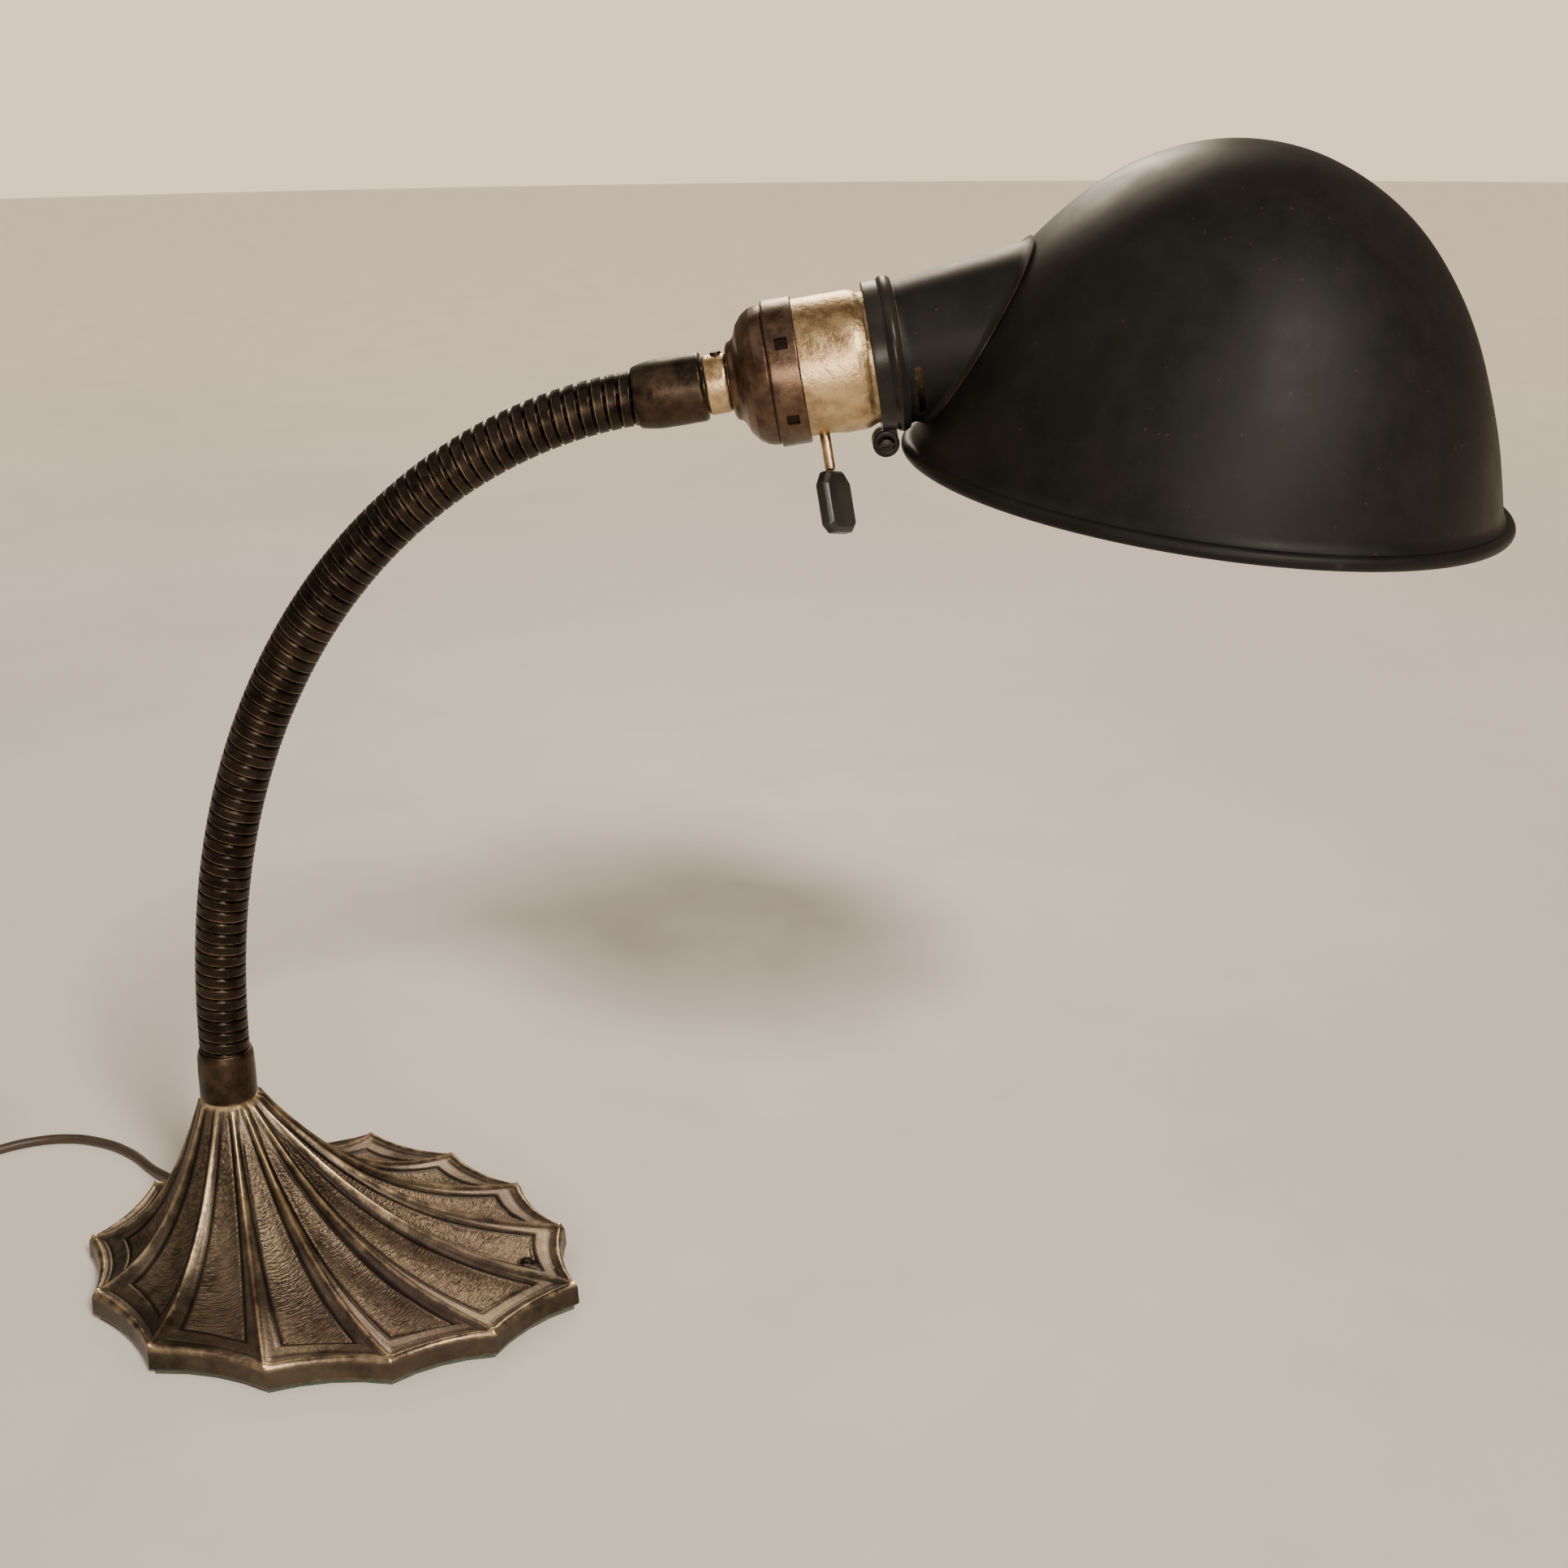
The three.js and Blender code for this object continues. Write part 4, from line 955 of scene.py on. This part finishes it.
def make_key():
    stem = [(0, 6.5), (1.3, 6.5), (1.3, KEY_OUTER - 0.4), (1.0, KEY_OUTER), (0, KEY_OUTER)]
    turned("switch_stem", "switch_key", "brass", BRASS, ["key_stem"], stem, on_key, 0.2, 32, 1.5)
    half, long, thick = 5.2, 15.5, 4.2
    outline = [(-half + 2.2, 0), (half - 2.2, 0), (half, 3.2), (half, long - 2), (half - 2, long),
               (-half + 2, long), (-half, long - 2), (-half, 3.2)]
    work = bmesh.new()
    sides = []
    for level in (-1, 1):
        sides.append([work.verts.new((thick / 2 * level, x, KEY_OUTER + 0.3 + z)) for x, z in outline])
    work.faces.new(sides[0])
    work.faces.new(sides[1])
    for i in range(len(outline)):
        j = (i + 1) % len(outline)
        work.faces.new((sides[0][i], sides[0][j], sides[1][j], sides[1][i]))
    bmesh.ops.recalc_face_normals(work, faces=work.faces)
    rim = [e for e in work.edges if abs(e.verts[0].co.x - e.verts[1].co.x) < 0.01]
    bmesh.ops.bevel(work, geom=rim, offset=1.0, segments=1, profile=0.5, affect="EDGES")
    bmesh.ops.bevel(work, geom=list(work.edges), offset=0.28, segments=3, profile=0.6, affect="EDGES")
    work.verts.index_update()
    spin = Matrix.Rotation(KEY_SPIN, 3, "Z")
    points = [tuple(spin @ v.co) for v in work.verts]
    faces = [tuple(v.index for v in face.verts) for face in work.faces]
    work.free()
    made = piece("switch_paddle", "switch_key", PHENOLIC, ["key_paddle"],
                 on_key(points), faces, 35)
    mark_wear(made, 0.25)


# ---------------------------------------------------------------- shade


def dome_radius(z):
    """Radius of the dome at the heights z above its rim."""
    rise = np.clip(np.asarray(z, float) / SHADE_HIGH, 0, 1)
    return (CROWN_R + (SHADE_R - CROWN_R) * (1 - rise) ** 2) * np.sqrt(1 - rise ** 2)


def cone_radius(u):
    return CONE_R0 + (CONE_R1 - CONE_R0) * (np.asarray(u, float) - CONE_START) / (CONE_END - CONE_START)


def dome_outline():
    """Closed outline of the dome: outside from crown to bead, and back up inside."""
    count = 90
    outer, inner = [], []
    for i in range(count + 1):
        a = math.pi / 2 * (1 - i / count)
        flare = (SHADE_R - CROWN_R) * (1 - math.sin(a)) ** 2
        z = SHADE_HIGH * math.sin(a)
        if z > BEAD + 0.2:
            outer.append((0 if i == 0 else (CROWN_R + flare) * math.cos(a), z))
        z = (SHADE_HIGH - SHADE_WALL) * math.sin(a)
        if z > BEAD - 0.4:
            inner.append((0 if i == 0 else (CROWN_R - SHADE_WALL + flare) * math.cos(a), z))
    bead = []
    for i in range(17):
        a = (110 - i * 16.5) * DEG
        bead.append((SHADE_R + 1.2 + BEAD * math.cos(a), BEAD * math.sin(a)))
    return outer + bead + inner[::-1]


def make_bowl():
    points, faces = revolve(dome_outline(), 256)
    moved = []
    for p in points:
        v = Vector(p)
        soft = 0.55 * noise.noise(v * 0.022) + 0.22 * noise.noise(v * 0.05 + Vector((7, 3, 1)))
        share = min(1.0, math.hypot(v.x, v.y) / 8) * min(1.0, max(v.z, 0) / 12)
        out = Vector((v.x, v.y, v.z * 0.8)).normalized()
        moved.append(tuple(v + out * soft * share))
    made = piece("shade_dome", "shade", [SHADE_BLACK, SHADE_WHITE], ["shade_bowl"],
                 on_dome(moved), faces, 50)
    inside = [face for face in made.data.polygons]
    local = in_dome(np.array([face.center for face in inside]) / MM)
    normal = np.array([face.normal for face in inside])
    centre = on_dome([(0, 0, 20)])[0]
    inward = (normal * (np.array([face.center for face in inside]) / MM - centre)).sum(1) < 0
    for face, turned_in, place in zip(inside, inward, local):
        if turned_in and place[2] > BEAD - 0.3 and math.hypot(place[0], place[1]) < SHADE_R - 0.4:
            face.material_index = 1
    clear_low, clear_high = (float(cone_radius(end)) - 0.3 for end in (CONE_START, CONE_END))
    room = [(0, 55), (19.8, 55), (19.8, CLAMP_END + 0.4), (clear_low, CLAMP_END + 0.4),
            (clear_high, CONE_END), (0, CONE_END)]
    tool_points, tool_faces = revolve(room, 128)
    tool = tool_piece(SHADE_BLACK, on_shade(tool_points), tool_faces)
    mark_wear(cut(made, tool), 0.14)
    return made


def cone_reach(angle):
    """How far along the socket axis the neck's sheet runs before it meets the dome."""
    low, high = CONE_START, CONE_END
    for _ in range(30):
        u = (low + high) / 2
        r = float(cone_radius(u))
        p = in_dome(on_shade([(r * math.cos(angle), r * math.sin(angle), u)]))[0]
        inside = p[2] < 0 or math.hypot(p[0], p[1]) < float(dome_radius(p[2])) + 0.35
        low, high = (low, u) if inside else (u, high)
    return low


def make_shade_neck():
    columns, rows = 192, 26
    angle = around(columns)
    reach = np.array([cone_reach(a) for a in angle])
    reach = (np.roll(reach, 1) + reach + np.roll(reach, -1)) / 3
    outer, inner = [], []
    for i in range(rows + 1):
        t = i / rows
        u = CONE_START + (reach - CONE_START) * t
        r = cone_radius(u)
        lip = 0.9 * smooth((u - reach + 1.6) / 1.6) * smooth((reach - CONE_START) / 6)
        roll = 0.35 * smooth((CONE_START + 1.2 - u) / 1.2)
        for store, radius in ((outer, r + lip + roll), (inner, r + lip + roll - CONE_WALL)):
            store.append(np.column_stack([radius * np.cos(angle), radius * np.sin(angle), u]))
    points = np.concatenate(outer + inner[::-1])
    faces = grid_faces(2 * (rows + 1), columns, close_rows=True)
    made = piece("shade_collar", "shade", SHADE_BLACK, ["shade_neck"],
                 on_shade(points), faces, 50)
    slot = box_tool(SHADE_BLACK, (-13.0, -1.0), (8, 30), (70.0, 71.7))
    mark_wear(cut(made, slot), 0.14)


def make_clamp():
    outline = [(18.4, CLAMP_START), (18.4, 64.4), (18.75, 64.8), (19.1, 65.4), (19.2, 66), (19.1, 66.6),
               (18.75, 67.2), (18.4, CLAMP_END), (16.45, CLAMP_END), (16.45, CLAMP_START)]
    made = turned("shade_clamp", "shade", "clamp_enamel", CLAMP_BLACK, ["clamp_ring"], outline, on_shade,
                  0.3, 128, 1.4)
    barrel = rounded([(0, -EAR_HALF), (EAR_R, -EAR_HALF), (EAR_R, EAR_HALF), (0, EAR_HALF)], 0.5)
    points, faces = revolve(dense(barrel, 1.5), 48)
    ear = np.stack([points[:, 0] - CLAMP_DROP, points[:, 2], points[:, 1] + EAR_AT], 1)
    cut(made, tool_piece(CLAMP_BLACK, on_shade(ear), faces), "UNION")
    web = box_tool(CLAMP_BLACK, (-CLAMP_DROP, -17.05), (-3.3, 3.3), (CLAMP_START + 0.1, EAR_AT + 3.2))
    cut(made, web, "UNION")
    cut(made, box_tool(CLAMP_BLACK, (-30, -13.4), (-1.2, 1.2), (50, 80)))
    mark_wear(made, 0.25)


# ---------------------------------------------------------------- plug


def make_plug():
    """A moulded two-blade plug, lofted from rounded sections between the cord and the blades."""
    grip, groove = (11.95, 6.45), (11.2, 6.0)
    sections = [(3.0, 2.1, 2.1), (1.4, 2.3, 2.3), (0.6, 3.2, 3.0), (-0.6, 4.2, 3.9), (-3, 5.6, 4.7),
                (-6, 8.2, 5.6), (-9, 10.6, 6.2), (-12, 11.7, 6.4)]
    sections += [(x, *(grip if x % 2 == 0 else groove)) for x in range(-14, -21, -1)]
    sections += [(-24.2, *grip), (-24.9, 11.5, 6.0), (-25, 11.0, 5.6)]
    columns = 96
    angle = around(columns)
    c, s = np.cos(angle), np.sin(angle)
    rows = []
    for x, half_wide, half_high in sections:
        power = 0.55 if half_wide > 5 else 1.0
        y = PLUG_Y + half_wide * np.sign(c) * np.abs(c) ** power
        z = PLUG_Z + half_high * np.sign(s) * np.abs(s) ** power
        rows.append(np.column_stack([np.full(columns, PLUG_END + x), y, z]))
    points = np.concatenate(rows)
    faces = grid_faces(len(rows), columns)
    faces += [tuple(range(columns)), tuple(range(len(points) - columns, len(points)))]
    return mark_wear(piece("plug", "base", PHENOLIC, ["plug_body"], points, faces, 45), 0.2)


# ---------------------------------------------------------------- CAD pieces that stay, and the stage


def keep_cad():
    """Give the CAD's own pieces their finish, with a small bevel on their edges."""
    kept = {
        "felt_pad": (FELT, 0.25), "base_nipple": (STEEL, 0.15), "lock_nut": (STEEL, 0.35),
        "lock_washer": (STEEL, 0.15), "head_nipple": (STEEL, 0.15), "bushing_screw": (BRONZE, 0.1),
        "socket_liner": (FIBRE, 0.08), "centre_contact": (BRASS, 0.15), "clamp_screw": (BLACK_STEEL, 0.12),
        "clamp_nut": (BLACK_STEEL, 0.2), "coil_tie": (RUBBER, 0.25), "plug_blade_a": (BRASS, 0.3),
        "plug_blade_b": (BRASS, 0.3),
    }
    for name, (material, width) in kept.items():
        held = nodes[name]
        held.data.materials.clear()
        held.data.materials.append(material)
        bevel = held.modifiers.new("edges", "BEVEL")
        bevel.width, bevel.segments, bevel.limit_method = width * MM, 2, "ANGLE"
        bevel.angle_limit = 40 * DEG


AMBIENT, BACKDROP = 0.24, 1.45


def add_light(name, kind, at, towards, strength, colour, **settings):
    """A light at a point, or for a sun from the direction of that point, aimed at another."""
    data = bpy.data.lights.new(name, kind)
    data.energy, data.color = strength, colour
    for key, value in settings.items():
        setattr(data, key, value)
    light = bpy.data.objects.new(name, data)
    light.location = at
    light.rotation_mode = "QUATERNION"
    light.rotation_quaternion = (Vector(towards) - Vector(at)).to_track_quat("-Z", "Y")
    bpy.context.scene.collection.objects.link(light)
    return light


def make_stage():
    mesh = bpy.data.meshes.new("floor")
    work = bmesh.new()
    bmesh.ops.create_circle(work, cap_ends=True, segments=96, radius=6.0)
    work.to_mesh(mesh)
    work.free()
    mesh.materials.append(floor_finish())
    floor = bpy.data.objects.new("floor", mesh)
    bpy.context.scene.collection.objects.link(floor)
    world = bpy.data.worlds.new("studio")
    world.use_nodes = True
    tree = world.node_tree
    backdrop = tree.nodes["Background"]
    backdrop.inputs["Color"].default_value = rgb(1.0, 0.77, 0.55)
    seen = tree.nodes.new("ShaderNodeLightPath").outputs["Is Camera Ray"]
    strength = tree.nodes.new("ShaderNodeMapRange")
    strength.inputs["To Min"].default_value, strength.inputs["To Max"].default_value = AMBIENT, BACKDROP
    tree.links.new(seen, strength.inputs["Value"])
    tree.links.new(strength.outputs["Result"], backdrop.inputs["Strength"])
    bpy.context.scene.world = world
    add_light("key", "SUN", (0.45, -0.75, 0.75), (0, 0, 0), 3.4, (1.0, 0.92, 0.80), angle=12 * DEG)
    add_light("fill", "SUN", (-0.6, -0.3, 0.9), (0, 0, 0), 0.5, (1.0, 0.96, 0.92), angle=60 * DEG)
    add_light("front", "SPOT", (0.30, -1.25, 0.42), (0.23, 0, 0.24), 75, (1.0, 0.90, 0.76),
              spot_size=20 * DEG, spot_blend=0.6, shadow_soft_size=0.25)
    back = add_light("back", "SPOT", (0.15, 1.25, 0.95), (0.03, 0, 0.03), 60, (1.0, 0.86, 0.66),
                     spot_size=60 * DEG, spot_blend=0.6, shadow_soft_size=0.25)
    back.visible_diffuse = False


make_base()
make_outlet()
make_neck()
make_couplings()
make_bushing()
make_cap()
make_shell()
make_insides()
make_bulb()
make_key()
make_bowl()
make_shade_neck()
make_clamp()
plug = make_plug()
keep_cad()
make_stage()
